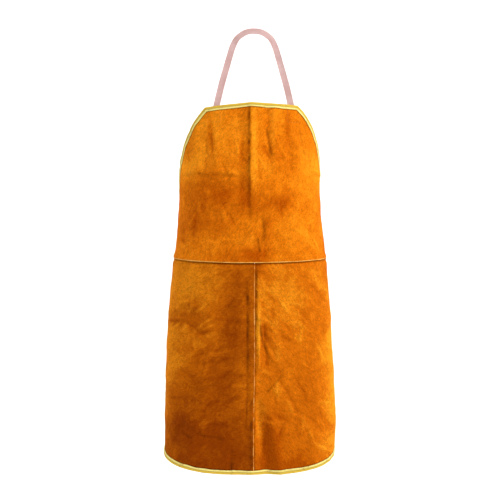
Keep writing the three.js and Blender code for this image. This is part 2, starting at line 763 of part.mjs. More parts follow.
// The slider that holds the strap's spare length against itself
function makeKeeper(beltLine) {
  const height = WEBBING_WIDTH + 2 * GAP;
  const thickness = 2 * LAYER_SPACING + WEBBING_THICKNESS + 2 * GAP;
  const keeper = cutFrom(
    bar(0, KEEPER_LENGTH, thickness + 2 * KEEPER_WALL, height + 2 * KEEPER_WALL),
    bar(-OVERCUT, KEEPER_LENGTH + OVERCUT, thickness, height),
  );
  addPlastic('strap_keeper', keeper.translate(PLUG_BASE + KEEPER_PLACE, 0, 0), beltLine);
}

makeBib();
makeHemBinding(makeSkirtHalf(-1, 'left'), makeSkirtHalf(1, 'right'));
makeWelts();
const neckRest = makeNeckStrap();
for (const [name, base, side] of [['left', STRAP_BASE_LEFT, -1], ['right', STRAP_BASE_RIGHT, 1]]) {
  makeStrapEnd(name, base, side);
  makePatch(name, base, side);
}
makeWaistStrap();

model.position.copy(neckRest).negate();
model.updateMatrixWorld(true);

export default model;
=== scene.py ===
"""The looks of a split-leather welding apron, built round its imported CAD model.

Every leather piece is drawn on its flat pattern: s runs round the body from the middle of the
front, and h is the height above the bib's top edge, so it is negative. on_apron() bends a pattern
point to where it hangs. Metres, +Z up, the front faces -Y.
"""
import math

import bmesh
import bpy
import numpy as np
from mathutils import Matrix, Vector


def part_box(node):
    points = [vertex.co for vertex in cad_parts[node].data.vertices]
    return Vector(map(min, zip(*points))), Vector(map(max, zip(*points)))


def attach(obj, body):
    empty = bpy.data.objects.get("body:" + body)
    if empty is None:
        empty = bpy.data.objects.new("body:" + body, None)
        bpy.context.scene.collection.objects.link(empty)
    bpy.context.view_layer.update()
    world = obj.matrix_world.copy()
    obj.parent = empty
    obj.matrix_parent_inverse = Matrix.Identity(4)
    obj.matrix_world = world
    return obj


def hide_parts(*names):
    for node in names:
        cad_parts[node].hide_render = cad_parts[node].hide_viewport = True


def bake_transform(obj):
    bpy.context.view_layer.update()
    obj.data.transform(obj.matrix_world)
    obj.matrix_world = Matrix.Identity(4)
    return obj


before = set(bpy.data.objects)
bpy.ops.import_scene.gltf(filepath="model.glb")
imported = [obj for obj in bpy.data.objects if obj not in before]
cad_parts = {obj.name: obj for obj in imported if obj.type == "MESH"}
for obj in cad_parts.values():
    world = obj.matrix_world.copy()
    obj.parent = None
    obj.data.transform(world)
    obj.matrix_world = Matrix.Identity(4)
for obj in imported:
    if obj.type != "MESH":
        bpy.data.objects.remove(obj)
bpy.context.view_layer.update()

# ---- the flat pattern, as the CAD has it
HALF_WIDTH = 0.305
LENGTH = 1.067
BIB_CORNER_LEFT = (-0.131, -0.012)
BIB_CORNER_RIGHT = (0.143, -0.006)
BIB_PEAK = (0.003, 0.0)
ARMHOLE_END = -0.285
ARMHOLE_CONTROL_LEFT = (-0.205, -0.072)
ARMHOLE_CONTROL_RIGHT = (0.236, -0.066)
HEM_CORNER_RUN = 0.270
HEM_CORNER_RISE = 0.080
WAIST_SIDE = -0.444
WAIST_DIP = 0.017
CENTRE_SEAM = 0.014
HEM_JOINT_TURN = 0.965
CORNER_SPLIT = 0.35
WRAP_ANGLE = math.radians(105)
WRAP_POWER_BIB = 1.74
WRAP_POWER_HEM = 3.32
WRAP_CHANGE_TOP = -0.230
WRAP_CHANGE_DEPTH = 0.670
BIB_LEAN = 0.020
BIB_LEAN_DEPTH = 0.330

BIB_DEPTH = 0.46
SKIRT_DEPTH = 0.62
LEATHER = 0.0016
TAPE_REACH = 0.012
SEAM_GAP = 0.0004

# ---- the centre seam's wander, and the welts' edges
SEAM_STRAY = 0.0007
SEAM_DRIFT = 0.0030
SEAM_DRIFT_TOP = -0.800
SEAM_DRIFT_DEPTH = 0.090
WELT_WIDTH = 0.0026
WELT_DEPTH = 0.0067
WAIST_WELT_HEIGHT = 0.0016
CENTRE_WELT_HEIGHT = 0.0013
CENTRE_WELT_INSET = (0.003, 0.002)
WELT_STEP = 0.003

# ---- leather relief: folds, creases, seams
CREASE_RUN = (0.035, 0.105)
CREASE_HEIGHT = (0.0012, 0.0028)
CREASE_WIDTH = (0.0034, 0.0065)
# How strongly crease valleys are painted darker and crests paler: painted shade and painted highlight.
CREASE_SHADE_AND_HIGHLIGHT = 80
WAIST_RIDGE = 0.0022
WAIST_RIDGE_ABOVE = 0.005
WAIST_GROOVE = 0.0030
WAIST_ROLL = 0.007
SIDE_FLARE = 0.0035
SIDE_FLARE_START = 0.150
SIDE_FLARE_RUN = 0.110
SIDE_FLARE_DEPTH = 0.090
CENTRE_ALLOWANCE = 0.020
ALLOWANCE_STEP = 0.0016
ALLOWANCE_EDGE = 0.003
ALLOWANCE_TOP_FADE = 0.05
SIDE_BULGE = 0.006
SIDE_BULGE_HEIGHT = -0.935
SIDE_BULGE_HALF = 0.060
SIDE_BULGE_START = 0.170
SIDE_BULGE_RUN = 0.080

# ---- straps; the neck strap is a little wider than its CAD solid, and its crown tilts less
STRAP_WIDTH = 0.0192
STRAP_THICKNESS = 0.002
STRAP_BASE_LEFT = -0.095
STRAP_BASE_RIGHT = 0.122
STRAP_BEHIND = 0.0042
STRAP_END_LENGTH = 0.054
STRAP_SLOPE = 0.28
STRAP_STEPS = 260
SEWN_TURN_LEFT = 0.20
SEWN_TURN_RIGHT = 0.32
SEWN_TURN_DEPTH = 0.012
LOOP_HEIGHT = 0.212
LOOP_CROWN_BACK = 0.026
LOOP_OUTLINE = (
    (0, 0), (0.021, 0.003), (0.039, 0.014), (0.051, 0.027), (0.061, 0.050),
    (0.068, 0.074), (0.084, 0.134), (0.093, 0.169), (0.103, LOOP_HEIGHT),
)
CROWN_TILT = math.radians(18)
CROWN_TILT_DEPTH = 0.090
HINGE_ABOVE_BIB = 0.003
PATCH_SIZE = (0.046, 0.044)
PATCH_MARGIN = 0.003
PATCH_BEHIND = 0.0070
PATCH_BELOW_TAPE = 0.002

WEBBING_WIDTH = 0.025
WEBBING_THICKNESS = 0.0018
WAIST_STRAP_HEIGHT = -0.318
WEBBING_BEHIND = 0.0054
SEWN_END = 0.252
SEWN_BEND = 0.282
SEWN_BEND_RUN = (0.003, 0.030)
LAYER_SPACING = 0.0013
FOLD_RADIUS = 0.0035
BAR_HALF = 0.0016
STRAP_SHOULDER = 0.009
TAIL_LENGTH = 0.078
SEWN_FOLD_LENGTH = 0.046
BOX_STITCH = (0.020, 0.018)
BOX_STITCH_INSET = 0.003
BOX_STITCH_PITCH = 0.0035

PANEL_CELL = 0.0027
TAPE_STEP = 0.0035
STITCH_PITCH = 0.0048
STITCH_LENGTH = 0.0036
STITCH_RADIUS = 0.0004
STITCH_ARCH = 0.0003
TAPE_STITCH_DEPTH = 0.0070
TAPE_STITCH_OUT = 0.0022
TAPE_MITRE = 0.0003
WEBBING_STEP = 0.0012

# ---- camera and floor
SENSOR = 36
CAMERA_DISTANCE = 2.60
CAMERA_ASIDE = 0.0014
CAMERA_BELOW_BIB_TOP = 0.4250
VIEW_WIDTH = 1.428
FLOOR_DROP = 0.35
FLOOR_FRONT = -1.8


def corner(node, which):
    return np.array(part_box(node)[which])


# Where the pattern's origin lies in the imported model's frame
PLACE = np.array([
    (corner("waist_seam_welt", 0)[0] + corner("waist_seam_welt", 1)[0]) / 2,
    corner("skirt_panel_left", 0)[1] + LEATHER / 2,
    corner("skirt_panel_left", 0)[2] + LENGTH,
])


# ======== the wrap

def smooth_step(t):
    c = np.clip(t, 0.0, 1.0)
    return c * c * (3 - 2 * c)


def unit(vectors):
    return vectors / np.linalg.norm(vectors, axis=-1, keepdims=True)


def wrap_point(s, h):
    """Pattern points bent round the wearer: the section's angle grows as a power of s."""
    t = smooth_step((WRAP_CHANGE_TOP - h) / WRAP_CHANGE_DEPTH)
    power = WRAP_POWER_BIB + (WRAP_POWER_HEM - WRAP_POWER_BIB) * t
    reach = np.abs(s)
    steps = 24
    x = np.zeros_like(reach)
    y = np.zeros_like(reach)
    for i in range(steps):
        angle = WRAP_ANGLE * (reach * (i + 0.5) / steps / HALF_WIDTH) ** power
        x += np.cos(angle) * reach / steps
        y += np.sin(angle) * reach / steps
    lean = BIB_LEAN * smooth_step((h + BIB_LEAN_DEPTH) / BIB_LEAN_DEPTH)
    return np.stack([np.sign(s) * x, y + lean, h], axis=-1)


def wrap_normal(s, h):
    reach = 0.0005
    across = wrap_point(s + reach, h) - wrap_point(s - reach, h)
    up = wrap_point(s, h + reach) - wrap_point(s, h - reach)
    return unit(np.cross(across, up))


def waist_line(s):
    return WAIST_SIDE - WAIST_DIP * (1 - (s / HALF_WIDTH) ** 2)


def centre_line(h):
    """The centre seam strays a little from straight, and lies further left near the hem."""
    drift = SEAM_DRIFT * smooth_step((SEAM_DRIFT_TOP - h) / SEAM_DRIFT_DEPTH)
    return CENTRE_SEAM + SEAM_STRAY * noise_along(h, 0.050, 17) - drift


# ======== folds and creases

def value_noise(x, y, cell, seed):
    """Smooth noise from -1 to 1, with one bump every cell metres."""
    table = np.random.RandomState(seed).uniform(-1, 1, (64, 64))
    u, v = x / cell + 17.3, y / cell + 41.7
    i, j = np.floor(u).astype(int), np.floor(v).astype(int)
    a, b = smooth_step(u - i), smooth_step(v - j)
    left, right, front, back = i % 64, (i + 1) % 64, j % 64, (j + 1) % 64
    low = table[left, front] * (1 - a) + table[right, front] * a
    high = table[left, back] * (1 - a) + table[right, back] * a
    return low * (1 - b) + high * b


def noise_along(place, cell, seed):
    return value_noise(place, place * 0, cell, seed)


def fold(s, h, start_s, start_h, end_s, end_h, height, width, fade, steep=1.0):
    """A ridge (or, with a negative height, a valley) along a line on the pattern.

    fade is the share of its length over which each end dies out, and steep narrows
    the side that lies on the right as one goes from start to end.
    """
    run_s, run_h = end_s - start_s, end_h - start_h
    length = math.hypot(run_s, run_h)
    along = ((s - start_s) * run_s + (h - start_h) * run_h) / length ** 2
    across = ((s - start_s) * run_h - (h - start_h) * run_s) / length
    ends = smooth_step(along / fade) * smooth_step((1 - along) / fade)
    reach = np.where(across > 0, width * steep, width)
    return height * ends * np.exp(-(across / reach) ** 2)


def in_metres(lengths, rows):
    """Table rows, whose first values are lengths in millimetres, with those turned to metres."""
    return [[value / 1000 for value in row[:lengths]] + list(row[lengths:]) for row in rows]


# Each fold: start (s, h), end (s, h), height, width; then fade at its ends, and its right side's steep
BIB_FOLDS = in_metres(6, (
    (3.5, 60, 3, -330, 6, 20, 0.4, 0.38), (16, 60, 14, -340, 6, 44, 0.35),
    (-30, 30, -26, -300, -3.4, 18, 0.25), (48, 40, 54, -240, -4.4, 10, 0.35),
    (70, 30, 74, -220, 3.6, 12, 0.3), (112, -66, 120, -225, -4.8, 10, 0.35),
    (138, -66, 142, -220, 3.8, 13, 0.35), (-130, -70, -136, -215, -4.6, 12, 0.35),
    (-96, -60, -94, -220, 4, 15, 0.35), (-160, -40, -176, -180, 3, 14, 0.35),
    (46, -80, 66, -165, -2.6, 4, 0.3), (40, -110, 60, -190, 2.2, 4.5, 0.3),
    (64, -70, 94, -150, 2, 4.5, 0.3), (80, -120, 106, -200, -2, 4.5, 0.3),
    (-85, -62, -20, -78, -1.8, 4, 0.3), (-200, -202, -18, -208, 3, 12, 0.25, 0.35),
    (-270, -226, 40, -262, -5, 30, 0.25), (60, -240, 270, -222, -3.6, 24, 0.3),
    (190, -196, 280, -204, 2.2, 10, 0.3, 0.4), (-50, -470, 10, -372, 4, 12, 0.3),
    (30, -425, 40, -330, -3.6, 7, 0.3), (46, -420, 58, -320, 3, 9, 0.3),
    (-20, -300, -140, -312, 2.2, 9, 0.3), (-220, -330, -40, -352, 2.6, 16, 0.3),
))
SKIRT_FOLDS = in_metres(6, (
    (12, -830, 54, -1100, -13.5, 18, 0.2), (50, -850, 98, -1100, 7, 14, 0.25),
    (24, -560, 28, -790, 8, 8, 0.2), (36, -600, 48, -780, -6.4, 6.5, 0.2),
    (32, -650, 86, -750, -3.4, 5, 0.25), (40, -640, 100, -730, 3, 6, 0.25),
    (30, -600, 118, -700, -2.8, 6, 0.25), (40, -700, 84, -775, -2.6, 5, 0.3),
    (-8, -530, -6, -940, -3, 4.5, 0.12), (43, -838, 102, -774, -3, 3.4, 0.2),
    (-164, -949, -68, -967, -3, 3.6, 0.2), (-200, -946, -162, -968, -2.2, 3.4, 0.2),
    (-200, -905, -110, -962, 2.4, 5.5, 0.25), (-210, -560, -60, -640, 2.6, 7, 0.3),
    (-240, -500, -200, -620, 3, 10, 0.3), (-220, -820, -90, -870, 2.6, 7.5, 0.3),
    (-230, -760, -80, -700, 2.6, 9, 0.3), (-160, -480, -110, -700, 5.6, 30, 0.3),
    (120, -500, 140, -800, -4, 28, 0.3), (-120, -760, -170, -1060, 5.6, 30, 0.3),
    (170, -860, 200, -1060, 4.8, 26, 0.3), (-56, -1070, -52, -990, -4, 6, 0.3),
))


def small_creases(seed, count, low, high, slope):
    """Short, shallow creases strewn over a panel, most of them at about one slope."""
    random = np.random.RandomState(seed)
    creases = []
    for _ in range(count):
        start = random.uniform(low, high)
        angle = math.radians(random.normal(slope, 24))
        end = start + random.uniform(*CREASE_RUN) * np.array((math.cos(angle), math.sin(angle)))
        height = random.choice((-1, 1)) * random.uniform(*CREASE_HEIGHT)
        creases.append([*start, *end, height, random.uniform(*CREASE_WIDTH), 0.4])
    return creases


BIB_CREASES = small_creases(31, 40, (-0.25, -0.42), (0.22, -0.05), -75)
SKIRT_CREASES = (
    small_creases(32, 64, (-0.29, -1.03), (-0.05, -0.50), 24)
    + small_creases(33, 44, (0.02, -1.00), (0.24, -0.50), -48)
)

# Soft unevenness all over: height, size, how far it slants, and seed
SWELLS = ((0.0026, 0.110, 0.0, 3), (0.0013, 0.042, 0.0, 5), (0.0006, 0.017, 0.5, 7))


def sum_of_folds(folds, s, h):
    return sum(fold(s, h, *row) for row in folds)


def relief(s, h, part):
    """How far the leather stands out from its plain wrap. part is "bib" or "skirt"."""
    folds = BIB_FOLDS + BIB_CREASES if part == "bib" else SKIRT_FOLDS + SKIRT_CREASES
    out = sum_of_folds(folds, s, h)
    for height, size, slant, seed in SWELLS:
        out = out + height * value_noise(s + slant * h, h, size, seed)
    drop = h - waist_line(s)
    if part == "bib":
        return out + WAIST_RIDGE * np.exp(-((drop - WAIST_RIDGE_ABOVE) / WAIST_ROLL) ** 2)
    out = out - WAIST_GROOVE * np.exp(-((drop + WAIST_ROLL) / WAIST_ROLL) ** 2)
    side = smooth_step((np.abs(s) - SIDE_FLARE_START) / SIDE_FLARE_RUN)
    out = out + SIDE_FLARE * side * np.exp(drop / SIDE_FLARE_DEPTH)
    from_seam = s - centre_line(h)
    allowance = smooth_step((from_seam + CENTRE_ALLOWANCE) / ALLOWANCE_EDGE) * (from_seam < 0)
    out = out + ALLOWANCE_STEP * allowance * smooth_step(-drop / ALLOWANCE_TOP_FADE)
    bulge = SIDE_BULGE * np.exp(-(((h - SIDE_BULGE_HEIGHT) / SIDE_BULGE_HALF) ** 2))
    return out + bulge * smooth_step((s - SIDE_BULGE_START) / SIDE_BULGE_RUN)


# Where the leather is coloured darker (above 0) or paler, partly from uneven dye and partly as painted
# light and shade: middle (s, h), spread (s, h); then strength
BIB_DYE_AND_PAINTED_LIGHT = in_metres(4, (
    (-110, -275, 140, 52, 0.28), (-20, -285, 60, 40, 0.2), (90, -290, 40, 26, 0.26),
    (-120, -345, 120, 34, 0.2), (-18, -160, 13, 130, 0.18), (0, -440, 60, 22, 0.4),
    (100, -140, 50, 40, 0.1), (160, -370, 90, 60, -0.08), (-200, -180, 60, 36, -0.5),
    (220, -190, 60, 50, -0.34), (13, -120, 8, 130, -0.34), (66, -100, 10, 70, -0.2),
    (-150, -110, 50, 60, -0.12), (112, -60, 8, 50, 0.26), (-116, -70, 13, 60, 0.26),
    (-90, -80, 70, 60, -0.2),
))
SKIRT_DYE_AND_PAINTED_LIGHT = in_metres(4, (
    (-160, -1070, 160, 260, 0.42), (-160, -480, 160, 100, -0.24), (150, -940, 110, 110, 0.22),
    (-20, -520, 35, 45, 0.3), (-50, -640, 45, 130, 0.22), (-170, -540, 90, 40, -0.16),
    (-220, -720, 50, 160, -0.12), (-60, -940, 110, 110, 0.14), (24, -470, 20, 30, 0.3),
    (60, -1010, 24, 70, 0.32), (30, -900, 20, 50, -0.1), (120, -1040, 120, 24, 0.3),
    (270, -820, 45, 300, -0.34), (-270, -760, 40, 280, -0.3), (80, -560, 60, 50, -0.12),
    (26, -665, 6, 80, -0.6), (26, -960, 14, 70, -0.3), (50, -980, 12, 80, 0.3),
))


def dye_and_painted_light(s, h, part):
    """The tone: 0.5 is the usual one and 1 the darkest. It holds uneven dye together with painted light
    and shade, and creases are painted darker in their valleys and paler on their crests.
    """
    clouds, creases = (BIB_DYE_AND_PAINTED_LIGHT, BIB_CREASES) if part == "bib" else (SKIRT_DYE_AND_PAINTED_LIGHT, SKIRT_CREASES)
    tone = 0.5 + 0.07 * value_noise(s, h, 0.070, 11) + 0.05 * value_noise(s, h, 0.030, 13)
    for mid_s, mid_h, wide, high, strength in clouds:
        tone = tone + strength * np.exp(-((s - mid_s) / wide) ** 2 - ((h - mid_h) / high) ** 2)
    # Painted shade in the creases' valleys and painted highlight on their crests.
    return tone - CREASE_SHADE_AND_HIGHLIGHT * sum_of_folds(creases, s, h)


# Thin lines of painted shade along creases and beside seams: start (s, h), end (s, h), half width;
# then strength
BIB_CREASE_SHADE = in_metres(5, (
    (0.5, 30, 0, -150, 4.4, 1.0), (0, -110, 1, -350, 4.2, 0.75),
    (48, -66, 63, -165, 3.8, 0.6), (-240, -202, -10, -212, 6, 0.34),
    (190, -200, 270, -208, 4, 0.25), (24, -385, 30, -435, 4, 0.8),
    (38, -320, 44, -400, 4, 0.5), (-85, -64, -20, -80, 3.2, 0.25),
    (-20, -295, -60, -300, 4, 0.4), (150, -60, 172, -190, 3.8, 0.4),
))
SKIRT_CREASE_SHADE = in_metres(5, (
    (19, -450, 20, -580, 4.2, 1.0), (18.5, -540, 19.5, -650, 3.4, 0.7),
    (-5, -545, -6, -590, 3.2, 0.9), (-4, -600, -3, -680, 3.4, 0.6),
    (-5.5, -720, -6.5, -756, 3.6, 0.9), (27, -610, 38, -700, 3.6, 0.95),
    (33, -675, 60, -745, 3.4, 0.8), (40, -700, 80, -770, 3.6, 0.34),
    (30, -625, 115, -700, 3.6, 0.3), (40, -842, 102, -774, 3.2, 0.52),
    (-164, -951, -68, -969, 3.2, 0.45), (-200, -946, -162, -968, 3.2, 0.35),
    (6, -830, 5, -1070, 6, 0.95), (-220, -560, -100, -500, 4, 0.25),
    (-180, -840, -80, -800, 4, 0.3), (-50, -1030, -54, -1066, 4, 0.6),
))


def wear(s, h, part):
    """How far each line of painted crease shade covers the leather, from 0 to 1."""
    lines = BIB_CREASE_SHADE if part == "bib" else SKIRT_CREASE_SHADE
    covered = np.zeros_like(s)
    broken = 0.75 + 0.5 * value_noise(s, h, 0.012, 19)
    for *ends, width, strength in lines:
        covered = np.maximum(covered, fold(s, h, *ends, strength, width, 0.2) * broken)
    return np.clip(covered, 0, 1)


def on_apron(s, h, out=0.0, part=None):
    """Where pattern points hang, moved out from the leather's middle surface."""
    s, h, out = np.broadcast_arrays(*(np.asarray(values, float) for values in (s, h, out)))
    if part:
        lift = relief(s, h, part)
    else:
        lift = np.where(h > waist_line(s), relief(s, h, "bib"), relief(s, h, "skirt"))
    return raised(s, h, out + lift)


def raised(s, h, out):
    return wrap_point(s, h) + wrap_normal(s, h) * out[..., None] + PLACE


# ======== mesh makers

def new_object(name, data):
    obj = bpy.data.objects.new(name, data)
    bpy.context.scene.collection.objects.link(obj)
    return obj


def make_object(name, points, faces, smooth_angle=40):
    mesh = bpy.data.meshes.new(name)
    mesh.from_pydata(np.asarray(points, float).tolist(), [], faces)
    mesh.validate()
    obj = new_object(name, mesh)
    mesh.shade_smooth()
    mesh.set_sharp_from_angle(angle=math.radians(smooth_angle))
    return obj


def add_values(obj, name, values):
    attribute = obj.data.attributes.new(name, "FLOAT", "POINT")
    attribute.data.foreach_set("value", np.asarray(values, np.float32).ravel())


def add_cloth_places(obj, across, along):
    """Marks the points of a tube of cloth with their places across and along it."""
    add_values(obj, "across", np.tile(across, (len(along), 1)))
    add_values(obj, "along", np.repeat(along, len(across)))


def sheet_faces(rows, cols):
    """Faces of a closed slab: a front grid, a back grid and the wall round them."""
    count = rows * cols
    grid = np.arange(count).reshape(rows, cols)
    a, b = grid[:-1, :-1], grid[:-1, 1:]
    c, d = grid[1:, 1:], grid[1:, :-1]
    front = np.stack([a, d, c, b], axis=-1).reshape(-1, 4)
    back = front[:, ::-1] + count
    rim = np.concatenate([grid[0, :-1], grid[:-1, -1], grid[-1, :0:-1], grid[:0:-1, 0]])
    after = np.roll(rim, -1)
    wall = np.stack([rim, after, after + count, rim + count], axis=-1)
    return np.concatenate([front, back, wall]).tolist()


def distance_to(lines, s, h):
    """How far pattern points lie from the nearest of some lines."""
    points = np.stack([s, h], axis=-1)
    nearest = np.full(s.shape, 1.0)
    for line in lines:
        for start, end in zip(line[:-1], line[1:]):
            run = end - start
            share = np.clip(((points - start) @ run) / (run @ run), 0, 1)
            gap = np.linalg.norm(points - start - share[..., None] * run, axis=-1)
            nearest = np.minimum(nearest, gap)
    return nearest


def slab(name, s, h, out, thickness, part, taped=()):
    """A sheet of leather over a grid of pattern points (rows go down)."""
    front = on_apron(s, h, out + thickness / 2, part)
    back = on_apron(s, h, out - thickness / 2, part)
    points = np.concatenate([front.reshape(-1, 3), back.reshape(-1, 3)])
    obj = make_object(name, points, sheet_faces(*s.shape))
    values = {"pattern_h": h, "dye_and_painted_light": dye_and_painted_light(s, h, part), "from_tape": distance_to(taped, s, h)}
    values["from_waist"] = np.abs(h - waist_line(s))
    values["from_centre"] = s - centre_line(h)
    values["wear"] = wear(s, h, part)
    for key, value in values.items():
        add_values(obj, key, np.tile(value.ravel(), 2))
    return obj


def tube_faces(rings, count):
    """Side faces between rings of count points, and a fan over each end."""
    grid = np.arange(rings * count).reshape(rings, count)
    after = np.roll(grid, -1, axis=1)
    sides = np.stack([grid[:-1], after[:-1], after[1:], grid[1:]], axis=-1).reshape(-1, 4).tolist()
    return sides + [grid[0, ::-1].tolist(), grid[-1].tolist()]


def tube(name, rings):
    obj = make_object(name, rings.reshape(-1, 3), tube_faces(*rings.shape[:2]), 50)
    fix_normals(obj)
    return obj


def fix_normals(obj):
    mesh = bmesh.new()
    mesh.from_mesh(obj.data)
    bmesh.ops.recalc_face_normals(mesh, faces=mesh.faces)
    mesh.to_mesh(obj.data)
    mesh.free()


# ======== pattern outlines

def resample(points, count):
    """The same line with count + 1 points, evenly spaced."""
    points = np.asarray(points, float)
    lengths = np.concatenate([[0], np.cumsum(np.linalg.norm(np.diff(points, axis=0), axis=1))])
    wanted = np.linspace(0, lengths[-1], count + 1)
    return np.stack([np.interp(wanted, lengths, values) for values in points.T], axis=-1)


def line_length(points):
    return float(np.linalg.norm(np.diff(np.asarray(points), axis=0), axis=1).sum())


def places_along(path):
    return np.linspace(0, line_length(path), len(path))


def bezier(start, control, end, steps=60):
    t = np.linspace(0, 1, steps + 1)[:, None]
    start, control, end = np.array(start), np.array(control), np.array(end)
    return (1 - t) ** 2 * start + 2 * t * (1 - t) * control + t ** 2 * end


def bib_top():
    return np.array([BIB_CORNER_LEFT, BIB_PEAK, BIB_CORNER_RIGHT])


def armhole(side):
    start, control = BIB_CORNER_LEFT, ARMHOLE_CONTROL_LEFT
    if side > 0:
        start, control = BIB_CORNER_RIGHT, ARMHOLE_CONTROL_RIGHT
    return bezier(start, control, (side * HALF_WIDTH, ARMHOLE_END))


def bib_side(side):
    foot = (side * HALF_WIDTH, waist_line(HALF_WIDTH) + SEAM_GAP)
    return np.concatenate([armhole(side), [foot]])


def hem_corner(side, start, end):
    """Part of a bottom corner, from the side edge (turn 0) to the hem (turn 1)."""
    angle = np.linspace(start, end, 31) * math.pi / 2
    s = side * (HALF_WIDTH - HEM_CORNER_RUN * (1 - np.cos(angle)))
    return np.stack([s, -LENGTH + HEM_CORNER_RISE * (1 - np.sin(angle))], axis=-1)


def hem_height(s):
    over = np.clip((np.abs(s) - HALF_WIDTH + HEM_CORNER_RUN) / HEM_CORNER_RUN, 0, 1)
    return -LENGTH + HEM_CORNER_RISE * (1 - np.sqrt(1 - over ** 2))


def coons(left, right, top, bottom):
    """Fills the four-sided patch between matching border lines."""
    rows, cols = len(left), len(top)
    u = np.linspace(0, 1, cols)[None, :, None]
    v = np.linspace(0, 1, rows)[:, None, None]
    across = left[:, None] * (1 - u) + right[:, None] * u
    down = top[None] * (1 - v) + bottom[None] * v
    corners = (
        top[0] * (1 - u) * (1 - v) + top[-1] * u * (1 - v)
        + bottom[0] * (1 - u) * v + bottom[-1] * u * v
    )
    return across + down - corners


# ======== panels

def make_bib():
    rows = int(BIB_DEPTH / PANEL_CELL)
    cols = int(2 * HALF_WIDTH / PANEL_CELL)
    foot = np.linspace(-HALF_WIDTH, HALF_WIDTH, cols + 1)
    bottom = np.stack([foot, waist_line(foot) + SEAM_GAP], axis=-1)
    left, right = bib_side(-1), bib_side(1)
    grid = coons(resample(left, rows), resample(right, rows), resample(bib_top(), cols), bottom)
    taped = (resample(left, 40), resample(right, 40), bib_top())
    return slab("bib_leather", grid[..., 0], grid[..., 1], 0.0, LEATHER, "bib", taped)


def make_skirt(side, name):
    """Columns run down from the waist seam to the hem, closer together at the rounded corner."""
    cols = int(HALF_WIDTH / PANEL_CELL)
    rows = int(SKIRT_DEPTH / PANEL_CELL)
    inner = CENTRE_SEAM + side * SEAM_GAP
    edge = side * HALF_WIDTH
    t = np.linspace(0, 1, cols + 1)
    column = inner + (edge - inner) * np.sin(t * math.pi / 2) ** 0.9
    if side < 0:
        column = column[::-1]
    s = np.tile(column, (rows + 1, 1))
    fall = np.linspace(0, 1, rows + 1)[:, None]
    top = waist_line(column) - SEAM_GAP
    h = top * (1 - fall) + hem_height(column) * fall
    nearness = np.clip((edge - s) / (edge - inner), 0, 1) ** 2
    s = s + (centre_line(h) - CENTRE_SEAM) * nearness
    side_edge = np.array([(edge, WAIST_SIDE), (edge, HEM_CORNER_RISE - LENGTH)])
    taped = (side_edge, np.concatenate([hem_corner(side, 0, 1), [(0.0, -LENGTH)]]))
    return slab(f"skirt_leather_{name}", s, h, 0.0, LEATHER, "skirt", taped)


def make_patch(name, base, side):
    """The leather square that backs a strap's sewn end, and the stitches round it."""
    width, height = PATCH_SIZE
    top = -TAPE_REACH - PATCH_BELOW_TAPE
    centre = base + side * STRAP_SLOPE * (height / 2 - top)
    u = np.linspace(-0.5, 0.5, 16)
    v = np.linspace(0, 1, 15)
    s, h = np.meshgrid(centre + u * width, top - v * height)
    patch = slab(name, s, h, -PATCH_BEHIND, LEATHER, "bib")
    line = box_line(centre, top - height / 2, width - 2 * PATCH_MARGIN, height - 2 * PATCH_MARGIN)
    faces = (LEATHER / 2, -PATCH_BEHIND - LEATHER / 2)
    return patch, make_stitches(f"{name}_stitches", line, 1, 0.0, faces, "bib")


def box_line(centre, middle, width, height):
    """A rectangle on the pattern, as a closed line."""
    corners = ((-1, -1), (1, -1), (1, 1), (-1, 1), (-1, -1))
    return np.array([(centre + u * width / 2, middle + v * height / 2) for u, v in corners])


# ======== tape

# The folded tape's section: how far in from the leather's edge, and how far out
# from its middle. The outer half rolls over the edge; a stitch line pulls it in.
TAPE_FRONT = (
    (0.0120, 0.0010), (0.0121, 0.0018), (0.0112, 0.0025), (0.0096, 0.0027), (0.0082, 0.0025),
    (0.0070, 0.0021), (0.0060, 0.0026), (0.0042, 0.0031), (0.0022, 0.0030), (0.0006, 0.0022),
    (-0.0003, 0.0011),
)
TAPE_EDGE = (-0.0006, 0.0)
TAPE_LINING = ((0.0004, -0.0010), (0.0004, 0.0010))


def tape_section():
    back = [(a, -o) for a, o in reversed(TAPE_FRONT)]
    return np.array([*TAPE_FRONT, TAPE_EDGE, *back, *TAPE_LINING])


def inward(path, toward):
    """Unit directions across an edge line, on the side where the leather lies."""
    run = unit(np.gradient(path, axis=0))
    return np.stack([-run[:, 1], run[:, 0]], axis=-1) * toward


def tape_part(path):
    middle = path[len(path) // 2]
    return "bib" if middle[1] > waist_line(middle[0]) else "skirt"


def make_tape(name, path, toward, seed):
    """A length of tape folded round an edge, a little uneven in reach and fullness."""
    path = resample(path, max(8, int(line_length(path) / TAPE_STEP)))
    direction = inward(path, toward)
    section = tape_section()
    place = places_along(path)
    wander = 1 + 0.09 * noise_along(place, 0.024, seed)
    puff = 1 + 0.10 * value_noise(place, place * 0 + 1, 0.008, seed + 1)
    puff += 0.30 * np.exp(-np.minimum(place, place[-1] - place) / 0.005)
    reach = section[:, 0][None, :] * wander[:, None]
    out = section[:, 1][None, :] * puff[:, None]
    held = path[:, None] + direction[:, None] * np.maximum(reach, 0)[..., None]
    rings = on_apron(held[..., 0], held[..., 1], out, tape_part(path))
    beyond = path + direction * 0.001
    away = unit(on_apron(path[:, 0], path[:, 1]) - on_apron(beyond[:, 0], beyond[:, 1]))
    rings += away[:, None] * np.maximum(-reach, 0)[..., None]
    obj = tube(name, rings)
    add_cloth_places(obj, section[:, 0] / TAPE_REACH, place)
    return obj


STITCH_STATIONS = np.linspace(-0.5, 0.5, 5)
STITCH_BULGE = np.array([0.45, 0.9, 1.0, 0.9, 0.45])
STITCH_SIDES = 6


